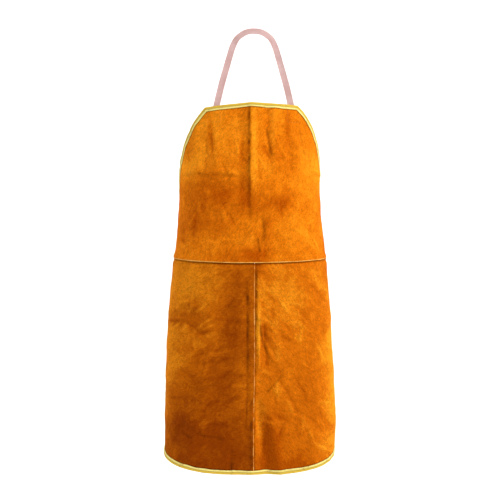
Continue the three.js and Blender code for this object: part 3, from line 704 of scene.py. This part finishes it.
def stitch_rings(line, out, part):
    """Rings of points round each stitch of a row, on one face of the leather."""
    middles = (line[:-1] + line[1:]) / 2
    runs = (line[1:] - line[:-1]) * (STITCH_LENGTH / STITCH_PITCH)
    base = middles[:, None] + runs[:, None] * STITCH_STATIONS[:, None]
    arch = np.sign(out) * STITCH_ARCH * (STITCH_BULGE - STITCH_BULGE[0])
    centre = on_apron(base[..., 0], base[..., 1], out + arch, part)[:, :, None]
    normal = wrap_normal(base[..., 0], base[..., 1])[:, :, None]
    side = np.cross(unit(np.gradient(centre, axis=1)), normal)
    angle = np.linspace(0, 2 * math.pi, STITCH_SIDES, endpoint=False)[:, None]
    radius = STITCH_RADIUS * STITCH_BULGE[:, None, None]
    return centre + radius * (normal * np.cos(angle) + side * np.sin(angle))


def make_stitches(name, path, toward, depth, outs, part=None, pitch=STITCH_PITCH):
    """A row of thread stitches that follows a line on the pattern, on each face asked for."""
    path = resample(path, max(2, int(line_length(path) / pitch)))
    line = path + inward(path, toward) * depth
    part = part or tape_part(path)
    rings = np.concatenate([stitch_rings(line, out, part) for out in outs])
    one = tube_faces(len(STITCH_STATIONS), STITCH_SIDES)
    size = len(STITCH_STATIONS) * STITCH_SIDES
    faces = [[index + size * k for index in face] for k in range(len(rings)) for face in one]
    obj = make_object(name, rings.reshape(-1, 3), faces)
    fix_normals(obj)
    return obj


def make_tapes():
    """Each length of tape, with its stitches and the CAD node it stands for."""
    made = []
    top = resample(bib_top(), 40)
    left, right = armhole(-1), armhole(1)
    waist = waist_line(HALF_WIDTH)
    hem_left = hem_corner(-1, CORNER_SPLIT, HEM_JOINT_TURN)
    hem_right = np.concatenate([hem_corner(-1, HEM_JOINT_TURN, 1), hem_corner(1, 1, CORNER_SPLIT)])
    lengths = [
        ("bib_top_tape", top, -1, "bib_top_binding"),
        ("armhole_tape_left", left, 1, "armhole_binding_left"),
        ("armhole_tape_right", right, -1, "armhole_binding_right"),
        ("hem_tape_left", hem_left, 1, "hem_binding_left"),
        ("hem_tape_right", hem_right, 1, "hem_binding_right"),
    ]
    for side, name, toward in ((-1, "left", 1), (1, "right", -1)):
        edge = side * HALF_WIDTH
        bib_edge = np.array([[edge, ARMHOLE_END], [edge, waist]])
        skirt_edge = np.concatenate([[[edge, waist]], hem_corner(side, 0, CORNER_SPLIT)])
        lengths.append((f"bib_side_tape_{name}", bib_edge, toward, f"bib_side_binding_{name}"))
        lengths.append((f"skirt_side_tape_{name}", skirt_edge, toward, f"skirt_side_binding_{name}"))
    for seed, (name, path, toward, node) in enumerate(lengths):
        path = shortened(path, TAPE_MITRE)
        tape = make_tape(name, path, toward, 20 + 2 * seed)
        faces = (TAPE_STITCH_OUT, -TAPE_STITCH_OUT)
        stitches = make_stitches(f"{name}_stitches", path, toward, TAPE_STITCH_DEPTH, faces)
        made.append((tape, stitches, node))
    return made


def shortened(path, by):
    path = np.array(path, float)
    path[0] += unit(path[1] - path[0]) * by
    path[-1] += unit(path[-2] - path[-1]) * by
    return path


# ======== welts

def make_welt(name, path, part, height, seed):
    """The pale edge of a strip sewn into a seam: a low, slightly uneven bead."""
    path = resample(path, int(line_length(path) / WELT_STEP))
    direction = inward(path, 1)
    place = places_along(path)
    width = WELT_WIDTH * (1 + 0.22 * noise_along(place, 0.017, seed))
    proud = height * (1 + 0.25 * noise_along(place, 0.011, seed + 1))
    shift = 0.0005 * noise_along(place, 0.045, seed + 2)
    root = -WELT_DEPTH / height
    section = np.array([
        (-0.5, root), (-0.5, 0.45), (-0.36, 0.9), (0, 1.05), (0.36, 0.9), (0.5, 0.45), (0.5, root),
    ])
    across = section[:, 0][None] * width[:, None] + shift[:, None]
    held = path[:, None] + direction[:, None] * across[..., None]
    base = relief(path[:, 0], path[:, 1], part)
    out = section[:, 1][None] * proud[:, None] + base[:, None]
    return tube(name, raised(held[..., 0], held[..., 1], out))


def make_welts():
    """The waist welt crosses the front between the side tapes; the centre one ends at the hem tape."""
    reach = HALF_WIDTH - TAPE_REACH
    s = np.linspace(-reach, reach, 80)
    line = np.stack([s, waist_line(s)], axis=-1)
    waist = make_welt("waist_welt", line, "bib", WAIST_WELT_HEIGHT, 60)
    head = waist_line(CENTRE_SEAM) - CENTRE_WELT_INSET[0]
    h = np.linspace(head, -LENGTH + TAPE_REACH - CENTRE_WELT_INSET[1], 80)
    line = np.stack([centre_line(h), h], axis=-1)
    centre = make_welt("centre_welt", line, "skirt", CENTRE_WELT_HEIGHT, 64)
    return waist, centre


# ======== straps

def strap_base(s):
    point = on_apron(s, 0.0, -STRAP_BEHIND, "bib")
    point[2] = PLACE[2] + HINGE_ABOVE_BIB
    return point


def smooth_path(points, count):
    """A Catmull-Rom curve through the points, resampled evenly."""
    points = np.asarray(points, float)
    padded = np.concatenate([[2 * points[0] - points[1]], points, [2 * points[-1] - points[-2]]])
    fine = []
    for i in range(len(points) - 1):
        p0, p1, p2, p3 = padded[i:i + 4]
        square, cube = 2 * p0 - 5 * p1 + 4 * p2 - p3, 3 * p1 - p0 - 3 * p2 + p3
        for t in np.linspace(0, 1, 16, endpoint=False):
            fine.append(0.5 * (2 * p1 + (p2 - p0) * t + square * t ** 2 + cube * t ** 3))
    fine.append(points[-1])
    return resample(fine, count)


def strap_end_points(base, side):
    depths = np.linspace(STRAP_END_LENGTH, 0.006, 8)
    return on_apron(base + side * STRAP_SLOPE * depths, -depths, -STRAP_BEHIND, "bib")


def loop_points(left, right):
    """The neck strap's free loop, from its left foot over the crown to its right foot."""
    middle = (left + right) / 2
    half_span = (right[0] - left[0]) / 2
    scale = half_span / LOOP_OUTLINE[-1][0]
    sides = []
    for side, end in ((-1, left), (1, right)):
        side_points = []
        for out, depth in LOOP_OUTLINE:
            fall = depth / LOOP_HEIGHT
            y = middle[1] + LOOP_CROWN_BACK * (1 - fall) + (end[1] - middle[1]) * fall ** 2
            side_points.append((middle[0] + side * out * scale, y, left[2] + LOOP_HEIGHT - depth))
        sides.append(side_points)
    return np.array(sides[0][::-1] + sides[1][1:])


def ribbon(name, path, width_directions, width, thickness, seed):
    """A woven strap: rounded edges a little thicker than its middle."""
    tangent = unit(np.gradient(path, axis=0))
    lean = np.sum(width_directions * tangent, axis=1, keepdims=True)
    across = unit(width_directions - tangent * lean)
    out = np.cross(tangent, across)
    outline = ((-0.5, 0.0), (-0.49, 0.42), (-0.455, 0.56), (-0.40, 0.50), (0, 0.46),
               (0.40, 0.50), (0.455, 0.56), (0.49, 0.42), (0.5, 0.0))
    lower = [(u, -v) for u, v in reversed(outline[1:-1])]
    section = np.array([*outline, *lower])
    place = places_along(path)
    wave = 1 + 0.02 * noise_along(place, 0.015, seed)
    rings = (
        path[:, None]
        + across[:, None] * (section[:, 0][None] * wave[:, None])[..., None] * width
        + out[:, None] * section[:, 1][None, :, None] * thickness
    )
    obj = tube(name, rings)
    add_cloth_places(obj, section[:, 0], place)
    return obj


def make_neck_strap():
    """Sewn end, loop and sewn end in one length; its ends turn to lie flat on the wrapped leather."""
    left, right = strap_base(STRAP_BASE_LEFT), strap_base(STRAP_BASE_RIGHT)
    loop = loop_points(left, right)
    ends = strap_end_points(STRAP_BASE_LEFT, -1), strap_end_points(STRAP_BASE_RIGHT, 1)[::-1]
    path = smooth_path(np.concatenate([ends[0], loop[1:-1], ends[1]]), STRAP_STEPS)
    tangent = np.gradient(path, axis=0)
    flat = unit(np.stack([-tangent[:, 2], np.zeros(len(path)), tangent[:, 0]], axis=-1))
    top = left[2] + LOOP_HEIGHT
    tilt = CROWN_TILT * (1 - smooth_step((top - path[:, 2]) / CROWN_TILT_DEPTH))
    sewn = smooth_step((left[2] - path[:, 2]) / SEWN_TURN_DEPTH)
    aside = path[:, 0] - PLACE[0]
    turn = sewn * np.where(aside < 0, SEWN_TURN_LEFT, SEWN_TURN_RIGHT) * np.sign(aside)
    width = flat * np.cos(tilt)[:, None]
    width[:, 1] += np.sin(tilt) + np.abs(flat[:, 0]) * turn * np.sign(flat[:, 0])
    return ribbon("neck_webbing", path, width, STRAP_WIDTH, STRAP_THICKNESS, 70)


def sewn_path(side, line_y):
    """A waist strap seen from above, from its sewn end to where it leaves the leather."""
    s = side * np.linspace(SEWN_END, SEWN_BEND, 5)
    flat = on_apron(s, WAIST_STRAP_HEIGHT, -WEBBING_BEHIND, "bib")[:, :2]
    bend, after = ((flat[-1][0] - side * run, line_y) for run in SEWN_BEND_RUN)
    return np.concatenate([flat, bezier(flat[-1], bend, after, 14)[1:]])


def fold_path(bar, towards, tail):
    """A strap seen from above, round a buckle's bar and back along itself."""
    shoulder = bar[0] + towards * STRAP_SHOULDER
    angle = -math.pi / 2 - towards * np.linspace(0, math.pi, 13)
    turn = np.array(bar) + FOLD_RADIUS * np.stack([np.cos(angle), np.sin(angle)], axis=-1)
    start = [(shoulder, bar[1] - LAYER_SPACING)]
    outer = bar[1] + LAYER_SPACING
    end = [(shoulder, outer), (shoulder + towards * tail, outer)]
    return np.concatenate([start, turn, end])


def make_waist_strap(name, side, bar, tail, seed):
    start = sewn_path(side, bar[1] - LAYER_SPACING)
    plan = np.concatenate([start, fold_path(bar, side, tail)])
    path = resample(plan, int(line_length(plan) / WEBBING_STEP))
    path = np.column_stack([path, np.full(len(path), PLACE[2] + WAIST_STRAP_HEIGHT)])
    up = np.tile((0.0, 0.0, 1.0), (len(path), 1))
    return ribbon(name, path, up, WEBBING_WIDTH, WEBBING_THICKNESS, seed)


def make_box_stitch(name, side):
    """The square of stitches that holds a waist strap's end to the bib."""
    middle = side * (SEWN_END + BOX_STITCH_INSET + BOX_STITCH[0] / 2)
    line = box_line(middle, WAIST_STRAP_HEIGHT, *BOX_STITCH)
    faces = (LEATHER / 2, -WEBBING_BEHIND - WEBBING_THICKNESS * 0.52)
    return make_stitches(name, line, 1, 0.0, faces, "bib", BOX_STITCH_PITCH)


def moulded(node, name, bevel):
    """A CAD piece with its edges rounded as moulded plastic has them."""
    obj = new_object(name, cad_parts[node].data.copy())
    weld_and_round(obj, bevel)
    return obj


def weld_and_round(obj, bevel):
    mesh = bmesh.new()
    mesh.from_mesh(obj.data)
    bmesh.ops.remove_doubles(mesh, verts=mesh.verts, dist=1e-6)
    bmesh.ops.dissolve_limit(mesh, angle_limit=math.radians(1), verts=mesh.verts, edges=mesh.edges)
    mesh.to_mesh(obj.data)
    mesh.free()
    modifier = obj.modifiers.new("round", "BEVEL")
    modifier.width = bevel
    modifier.segments = 3
    modifier.limit_method = "ANGLE"
    modifier.angle_limit = math.radians(30)
    apply_modifiers(obj)
    obj.data.shade_smooth()
    obj.data.set_sharp_from_angle(angle=math.radians(35))


def apply_modifiers(obj):
    depsgraph = bpy.context.evaluated_depsgraph_get()
    mesh = bpy.data.meshes.new_from_object(obj.evaluated_get(depsgraph))
    obj.modifiers.clear()
    obj.data = mesh


# ======== materials

class Nodes:
    """A short way to wire a material's nodes."""

    def __init__(self, name):
        self.material = bpy.data.materials.new(name)
        self.material.use_nodes = True
        self.tree = self.material.node_tree
        self.shader = self.tree.nodes["Principled BSDF"]

    def add(self, kind, inputs=(), **settings):
        node = self.tree.nodes.new(kind)
        for key, value in settings.items():
            setattr(node, key, value)
        for key, value in dict(inputs).items():
            self.put(node.inputs[key], value)
        return node

    def put(self, socket, value):
        if isinstance(value, bpy.types.NodeSocket):
            self.tree.links.new(value, socket)
        else:
            socket.default_value = value

    def noise(self, vector, scale, detail=4.0, roughness=0.55, distortion=0.0):
        return self.add("ShaderNodeTexNoise", {
            "Vector": vector, "Scale": scale, "Detail": detail, "Roughness": roughness,
            "Distortion": distortion,
        }).outputs["Fac"]

    def ramp(self, value, stops):
        node = self.add("ShaderNodeValToRGB", {"Fac": value})
        ramp = node.color_ramp
        while len(ramp.elements) < len(stops):
            ramp.elements.new(0.5)
        for element, (place, colour) in zip(ramp.elements, stops):
            element.position = place
            element.color = (*colour, 1)
        return node.outputs["Color"]

    def math(self, operation, a, b=0.0, clamp=False):
        node = self.add("ShaderNodeMath", operation=operation, use_clamp=clamp)
        self.put(node.inputs[0], a)
        self.put(node.inputs[1], b)
        return node.outputs[0]

    def plus(self, a, b):
        return self.math("ADD", a, b)

    def less(self, a, b, clamp=False):
        return self.math("SUBTRACT", a, b, clamp)

    def times(self, a, b, clamp=False):
        return self.math("MULTIPLY", a, b, clamp)

    def mix(self, factor, a, b, blend="MIX"):
        node = self.add("ShaderNodeMix", data_type="RGBA", blend_type=blend)
        self.put(node.inputs[0], factor)
        self.put(node.inputs[6], a if isinstance(a, bpy.types.NodeSocket) else (*a, 1))
        self.put(node.inputs[7], b if isinstance(b, bpy.types.NodeSocket) else (*b, 1))
        return node.outputs[2]

    def attribute(self, name):
        return self.add("ShaderNodeAttribute", attribute_name=name).outputs["Fac"]

    def place(self):
        return self.add("ShaderNodeTexCoord").outputs["Object"]

    def stretched(self, vector, slant, times):
        """Coordinates that draw a texture out along a line, slanted as seen from the front."""
        inputs = {"Vector": vector, "Rotation": (0, math.radians(slant), 0), "Scale": (1, 1, times)}
        return self.add("ShaderNodeMapping", inputs, vector_type="TEXTURE").outputs[0]

    def bump(self, height, distance, strength=1.0, under=None):
        node = self.add("ShaderNodeBump", {"Height": height, "Distance": distance, "Strength": strength})
        if under is not None:
            self.put(node.inputs["Normal"], under)
        return node.outputs["Normal"]

    def finish(self, colour, roughness, normal, **values):
        self.put(self.shader.inputs["Base Color"], colour)
        self.put(self.shader.inputs["Roughness"], roughness)
        self.put(self.shader.inputs["Normal"], normal)
        for key, value in values.items():
            self.shader.inputs[key.replace("_", " ")].default_value = value
        return self.material


def linear(red, green, blue):
    """A colour given as screen values from 0 to 255."""
    def one(value):
        c = value / 255
        return c / 12.92 if c <= 0.04045 else ((c + 0.055) / 1.055) ** 2.4
    return (one(red), one(green), one(blue))


def band(n, distance, middle, half_width):
    """1 on a line a given distance away, fading to 0 on each side of it."""
    away = n.math("ABSOLUTE", n.less(distance, middle))
    return n.less(1.0, n.math("DIVIDE", away, half_width), True)


def dye_and_light_colour(n, place, light, middle, dark):
    """The leather's colour, clouded at two sizes round the tone that each point has, a tone of uneven
    dye and painted light and shade.
    """
    cloud = n.times(n.less(n.noise(place, 9.0, 6.0, 0.62, 0.5), 0.5), 0.75)
    patches = n.times(n.less(n.noise(place, 34.0, 5.0, 0.65, 1.2), 0.5), 0.65)
    tone = n.plus(n.plus(n.attribute("dye_and_painted_light"), cloud), patches)
    return n.ramp(tone, ((0.15, light), (0.50, middle), (0.90, dark)))


# Lines of painted shade: how far from the leather's edge or seam each lies, and its half width
BESIDE_TAPE = (0.0128, 0.0030)
BELOW_WAIST = (0.0030, 0.0050)
BESIDE_CENTRE = (0.0036, 0.0036)
ALLOWANCE_LINE = (-CENTRE_ALLOWANCE, 0.0050)
ALLOWANCE_SPAN = (-0.93, -0.53)


def centre_seam_shade(n, place):
    """Broken lines of painted shade close beside the centre seam and at the edge of its allowance."""
    beside = band(n, n.attribute("from_centre"), *BESIDE_CENTRE)
    allowance = band(n, n.attribute("from_centre"), *ALLOWANCE_LINE)
    h = n.attribute("pattern_h")
    low, high = ALLOWANCE_SPAN
    within = n.times(n.math("LESS_THAN", h, high), n.math("GREATER_THAN", h, low))
    line = n.math("MAXIMUM", beside, n.times(allowance, within))
    broken = n.times(n.less(n.noise(place, 30.0, 3.0), 0.36, True), 4.0, True)
    return n.times(line, broken)


def napped(n, place, colour, slant):
    """A colour with a brushed nap over it: flecks, bump and a little sheen."""
    brushed = n.stretched(place, slant, 2.2)
    coarse = n.noise(brushed, 210.0, 6.0, 0.80, 0.8)
    nap = n.noise(brushed, 470.0, 5.0, 0.80)
    grain = n.plus(n.times(coarse, 0.6), n.times(nap, 0.4))
    flecks = ((0.38, (0.60, 0.52, 0.43)), (0.50, (1, 1, 1)), (0.62, (1.30, 1.42, 1.8)))
    colour = n.mix(1.0, colour, n.ramp(grain, flecks), "MULTIPLY")
    normal = n.bump(nap, 0.0010, 0.8, n.bump(coarse, 0.0024, 0.7))
    roughness = n.ramp(nap, ((0.3, (0.98,) * 3), (0.7, (0.88,) * 3)))
    return n.finish(colour, roughness, normal, Sheen_Weight=0.08, Sheen_Roughness=0.5,
                    Sheen_Tint=(1.0, 0.45, 0.08, 1), Specular_IOR_Level=0.02)


def suede(name, light, middle, dark, slant, skirt=False):
    """Split leather: a brushed nap, cloudy dye with painted light and shade, and painted shade beside
    the tapes, seams and creases.
    """
    n = Nodes(name)
    place = n.place()
    light, middle, dark = linear(*light), linear(*middle), linear(*dark)
    # A dark copy of the leather's colour, laid on as painted shade.
    painted_shade_colour = tuple(c * 0.30 for c in dark)
    shades = [(band(n, n.attribute("from_tape"), *BESIDE_TAPE), 0.75)]
    if skirt:
        shades.append((band(n, n.attribute("from_waist"), *BELOW_WAIST), 0.70))
        shades.append((centre_seam_shade(n, place), 0.62))
    # Painted shade along creases and seams.
    shades.append((n.attribute("wear"), 0.85))
    colour = dye_and_light_colour(n, place, light, middle, dark)
    for share, strength in shades:
        colour = n.mix(n.times(share, strength), colour, painted_shade_colour)
    return napped(n, place, colour, slant)


def raw_edge(name, light, dark, dyed_share):
    """The pale cut edge of a leather strip, fibrous, with dye rubbed over a share of it."""
    n = Nodes(name)
    place = n.place()
    fibre = n.noise(place, 330.0, 4.0, 0.7)
    stain = n.noise(place, 40.0, 4.0, 0.6)
    tone = n.plus(n.times(fibre, 0.5), n.times(stain, 0.5))
    colour = n.ramp(tone, ((0.38, linear(*dark)), (0.62, linear(*light))))
    rubbed = n.less(n.noise(place, 75.0, 3.0), 0.68 - 0.36 * dyed_share)
    colour = n.mix(n.times(rubbed, 9.0, True), colour, linear(196, 100, 12))
    normal = n.bump(fibre, 0.0006, 0.8)
    return n.finish(colour, 0.9, normal, Sheen_Weight=0.0, Specular_IOR_Level=0.05)


def woven_height(n, along, across, pitch):
    """A plain weave's height from two crossed rows of yarns."""
    warp = n.math("SINE", n.times(along, math.pi / pitch))
    weft = n.math("SINE", n.times(across, math.pi / pitch))
    return n.math("ABSOLUTE", n.times(warp, weft))


def tape_cloth():
    """Yellow cotton tape: a fine weave, browner where it rolls over the edge, soiled in spots, with a
    painted shadow line along its stitch groove and painted shade in the weave's hollows.
    """
    n = Nodes("tape_cloth")
    along, across = n.attribute("along"), n.attribute("across")
    weave = woven_height(n, along, n.times(across, TAPE_REACH), 0.0009)
    place = n.place()
    pale, gold, brown = linear(255, 243, 146), linear(228, 190, 66), linear(168, 124, 30)
    # The brown stop between the gold roll and the pale inner half is a painted shadow line along the
    # stitch groove.
    colour = n.ramp(across, (
        (0.02, gold), (0.45, gold), (0.52, brown), (0.60, gold), (0.68, pale), (0.95, pale),
    ))
    soil = n.less(n.noise(place, 60.0, 5.0, 0.65), 0.45, True)
    colour = n.mix(n.times(soil, 1.4, True), colour, gold)
    spots = n.less(n.noise(place, 75.0, 4.0, 0.6), 0.58, True)
    colour = n.mix(n.times(spots, 4.5, True), colour, brown)
    # Painted shade in the weave's hollows.
    colour = n.mix(n.times(n.less(0.5, weave, True), 0.5), colour, brown)
    normal = n.bump(n.noise(place, 160.0, 3.0), 0.0006, 0.4, n.bump(weave, 0.0003, 0.6))
    return n.finish(colour, 0.82, normal, Sheen_Weight=0.05, Specular_IOR_Level=0.10)


def strap_cloth():
    """Pink webbing: slanting ribs that meet in the middle, crossed by lengthwise yarns."""
    n = Nodes("strap_cloth")
    across = n.times(n.attribute("across"), 0.02)
    slanted = n.plus(n.attribute("along"), n.math("ABSOLUTE", across))
    rib = n.math("SINE", n.times(slanted, 2 * math.pi / 0.0021))
    yarn = n.math("SINE", n.times(across, 2 * math.pi / 0.0011))
    height = n.plus(n.times(rib, 0.5), n.times(yarn, 0.5))
    fade = n.noise(n.place(), 30.0, 4.0, 0.6)
    colour = n.ramp(fade, (
        (0.35, linear(212, 170, 165)), (0.55, linear(221, 183, 179)), (0.72, linear(229, 196, 193)),
    ))
    # Painted shade in the webbing's hollows, between its ribs and yarns.
    hollow_shade = n.times(n.less(0.0, height, True), 0.22, True)
    colour = n.mix(hollow_shade, colour, linear(176, 122, 116))
    normal = n.bump(height, 0.0003, 0.7)
    return n.finish(colour, 0.85, normal, Sheen_Weight=0.06, Specular_IOR_Level=0.12)


def thread(name, *colour):
    """Sewing thread of a screen colour, shaded by its twist."""
    n = Nodes(name)
    colour = linear(*colour)
    twist = n.noise(n.place(), 900.0, 2.0)
    shade = n.mix(twist, tuple(c * 0.7 for c in colour), colour)
    return n.finish(shade, 0.7, n.bump(twist, 0.0002, 0.6), Specular_IOR_Level=0.3)


def moulded_plastic():
    """Near-black plastic with a fine grain, duller where it is scuffed."""
    n = Nodes("moulded_plastic")
    place = n.place()
    grain = n.noise(place, 1500.0, 2.0)
    scuff = n.noise(place, 90.0, 5.0, 0.7)
    colour = n.ramp(scuff, ((0.4, linear(24, 24, 26)), (0.7, linear(44, 44, 47))))
    roughness = n.ramp(scuff, ((0.3, (0.36,) * 3), (0.7, (0.55,) * 3)))
    return n.finish(colour, roughness, n.bump(grain, 0.0001, 0.35), Specular_IOR_Level=0.45)


def dress(obj, material):
    obj.data.materials.clear()
    obj.data.materials.append(material)
    return obj


# ======== camera, floor, light

def aim(obj, target):
    direction = np.array(target, float) - np.array(obj.location)
    yaw = math.atan2(direction[0], direction[1])
    pitch = math.atan2(direction[2], math.hypot(direction[0], direction[1]))
    obj.rotation_euler = (math.pi / 2 + pitch, 0, -yaw)


def make_camera():
    """Level with the waist and straight in front, so far off that the hem hardly curves up."""
    data = bpy.data.cameras.new("camera")
    data.sensor_width = SENSOR
    data.lens = SENSOR * CAMERA_DISTANCE / VIEW_WIDTH
    camera = new_object("camera", data)
    aside, behind, below = CAMERA_ASIDE, -CAMERA_DISTANCE, -CAMERA_BELOW_BIB_TOP
    camera.location = (PLACE[0] + aside, PLACE[1] + behind, PLACE[2] + below)
    camera.rotation_euler = (math.pi / 2, 0, 0)
    bpy.context.scene.camera = camera


def area_light(name, place, size, power, target):
    data = bpy.data.lights.new(name, "AREA")
    data.shape = "RECTANGLE"
    data.size, data.size_y = size
    data.energy = power
    light = new_object(name, data)
    light.location = place
    light.visible_camera = False
    aim(light, target)


def make_floor():
    """A pale floor that starts in front of the apron and curves up into a backdrop."""
    floor = PLACE[2] - LENGTH - FLOOR_DROP
    back, radius, height, side = 4.0, 1.5, 7.0, 9.0
    profile = [(FLOOR_FRONT, floor), (back - radius, floor)]
    for i in range(1, 17):
        angle = i / 16 * math.pi / 2
        y = back - radius + radius * math.sin(angle)
        profile.append((y, floor + radius - radius * math.cos(angle)))
    profile.append((back, height))
    points = [(x, y, z) for y, z in profile for x in (-side, side)]
    faces = [(2 * i, 2 * i + 1, 2 * i + 3, 2 * i + 2) for i in range(len(profile) - 1)]
    studio = make_object("studio_floor", points, faces)
    n = Nodes("studio_paper")
    tooth = n.noise(n.place(), 60.0, 3.0)
    n.finish((0.93, 0.93, 0.93, 1), 0.95, n.bump(tooth, 0.0002, 0.1), Specular_IOR_Level=0.0)
    dress(studio, n.material)


def make_light():
    """Soft lamps: a strong one from the right, weaker ones round the apron, one on the backdrop."""
    target = (PLACE[0], PLACE[1], PLACE[2] - 0.5)
    area_light("key", (2.1, -2.0, 1.3), (1.0, 1.0), 115, target)
    area_light("fill", (-1.8, -2.4, 0.3), (1.4, 1.4), 20, target)
    area_light("side_right", (1.9, 0.35, -0.4), (0.8, 1.8), 8, target)
    area_light("side_left", (-1.9, 0.35, -0.4), (0.8, 1.8), 15, target)
    area_light("backdrop_light", (0, 1.6, 2.8), (4.0, 1.5), 190, (0, 4.0, -0.6))
    world = bpy.data.worlds.new("studio")
    world.use_nodes = True
    background = world.node_tree.nodes["Background"]
    background.inputs["Color"].default_value = (1, 1, 1, 1)
    background.inputs["Strength"].default_value = 0.12
    bpy.context.scene.world = world
    bpy.context.scene.view_settings.view_transform = "Standard"


# ======== assembly

def hang(obj, nodes, material, body="apron"):
    """Gives a piece its material and its body, and hides the CAD nodes it stands for."""
    dress(obj, material)
    if body:
        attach(obj, body)
    if nodes:
        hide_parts(*nodes)
    return obj


def dress_leather():
    bib_suede = suede("bib_suede", (252, 150, 24), (224, 117, 9), (184, 80, 1), 35)
    left_suede = suede("skirt_suede_left", (226, 132, 18), (186, 92, 5), (140, 58, 1), 62, True)
    right_suede = suede("skirt_suede_right", (244, 150, 26), (212, 108, 8), (172, 76, 1), -38, True)
    bib = hang(make_bib(), ["bib_panel"], bib_suede)
    left = hang(make_skirt(-1, "left"), ["skirt_panel_left"], left_suede)
    right = hang(make_skirt(1, "right"), ["skirt_panel_right"], right_suede)
    patch_thread = thread("patch_thread", 214, 128, 40)
    for name, base, side in (("left", STRAP_BASE_LEFT, -1), ("right", STRAP_BASE_RIGHT, 1)):
        patch, stitches = make_patch(f"corner_patch_{name}", base, side)
        hang(patch, [f"strap_patch_{name}"], bib_suede)
        hang(stitches, [], patch_thread)


def dress_edges():
    cloth = tape_cloth()
    tape_thread = thread("tape_thread", 232, 214, 150)
    for tape, stitches, node in make_tapes():
        hang(tape, [node], cloth)
        hang(stitches, [], tape_thread)
    waist, centre = make_welts()
    waist_edge = raw_edge("waist_welt_edge", (248, 194, 100), (216, 144, 50), 0.1)
    centre_edge = raw_edge("centre_welt_edge", (240, 176, 92), (198, 124, 44), 0.5)
    hang(waist, ["waist_seam_welt"], waist_edge)
    hang(centre, ["centre_seam_welt"], centre_edge)


def dress_straps():
    cloth = strap_cloth()
    neck = make_neck_strap()
    neck_nodes = ["neck_strap", "neck_strap_end_left", "neck_strap_end_right"]
    hang(neck, neck_nodes, cloth, body=None)
    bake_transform(neck)
    socket_bar = (corner("buckle_socket", 0)[0] + BAR_HALF, middle_y("buckle_socket"))
    plug_bar = (corner("buckle_plug", 1)[0] - BAR_HALF, middle_y("buckle_plug"))
    left = make_waist_strap("waist_webbing_left", -1, socket_bar, SEWN_FOLD_LENGTH, 74)
    hang(left, ["waist_strap_left"], cloth)
    right = make_waist_strap("waist_webbing_right", 1, plug_bar, TAIL_LENGTH, 78)
    hang(right, ["waist_strap_right"], cloth, body=None)
    strap_thread = thread("strap_thread", 206, 160, 150)
    for name, side in (("left", -1), ("right", 1)):
        hang(make_box_stitch(f"waist_box_stitch_{name}", side), [], strap_thread)
    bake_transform(right)


def middle_y(node):
    return (corner(node, 0)[1] + corner(node, 1)[1]) / 2


def dress_buckle():
    plastic = moulded_plastic()
    pieces = (
        ("buckle_socket", "apron", 0.0009),
        ("buckle_plug", "plug", 0.0006),
        ("buckle_prong_upper", "prong_upper", 0.0004),
        ("buckle_prong_lower", "prong_lower", 0.0004),
        ("strap_keeper", "keeper", 0.0005),
    )
    for node, body, bevel in pieces:
        obj = moulded(node, f"{node}_moulding", bevel)
        hang(obj, [node], plastic, body)


make_camera()
make_floor()
make_light()
dress_leather()
dress_edges()
dress_straps()
dress_buckle()
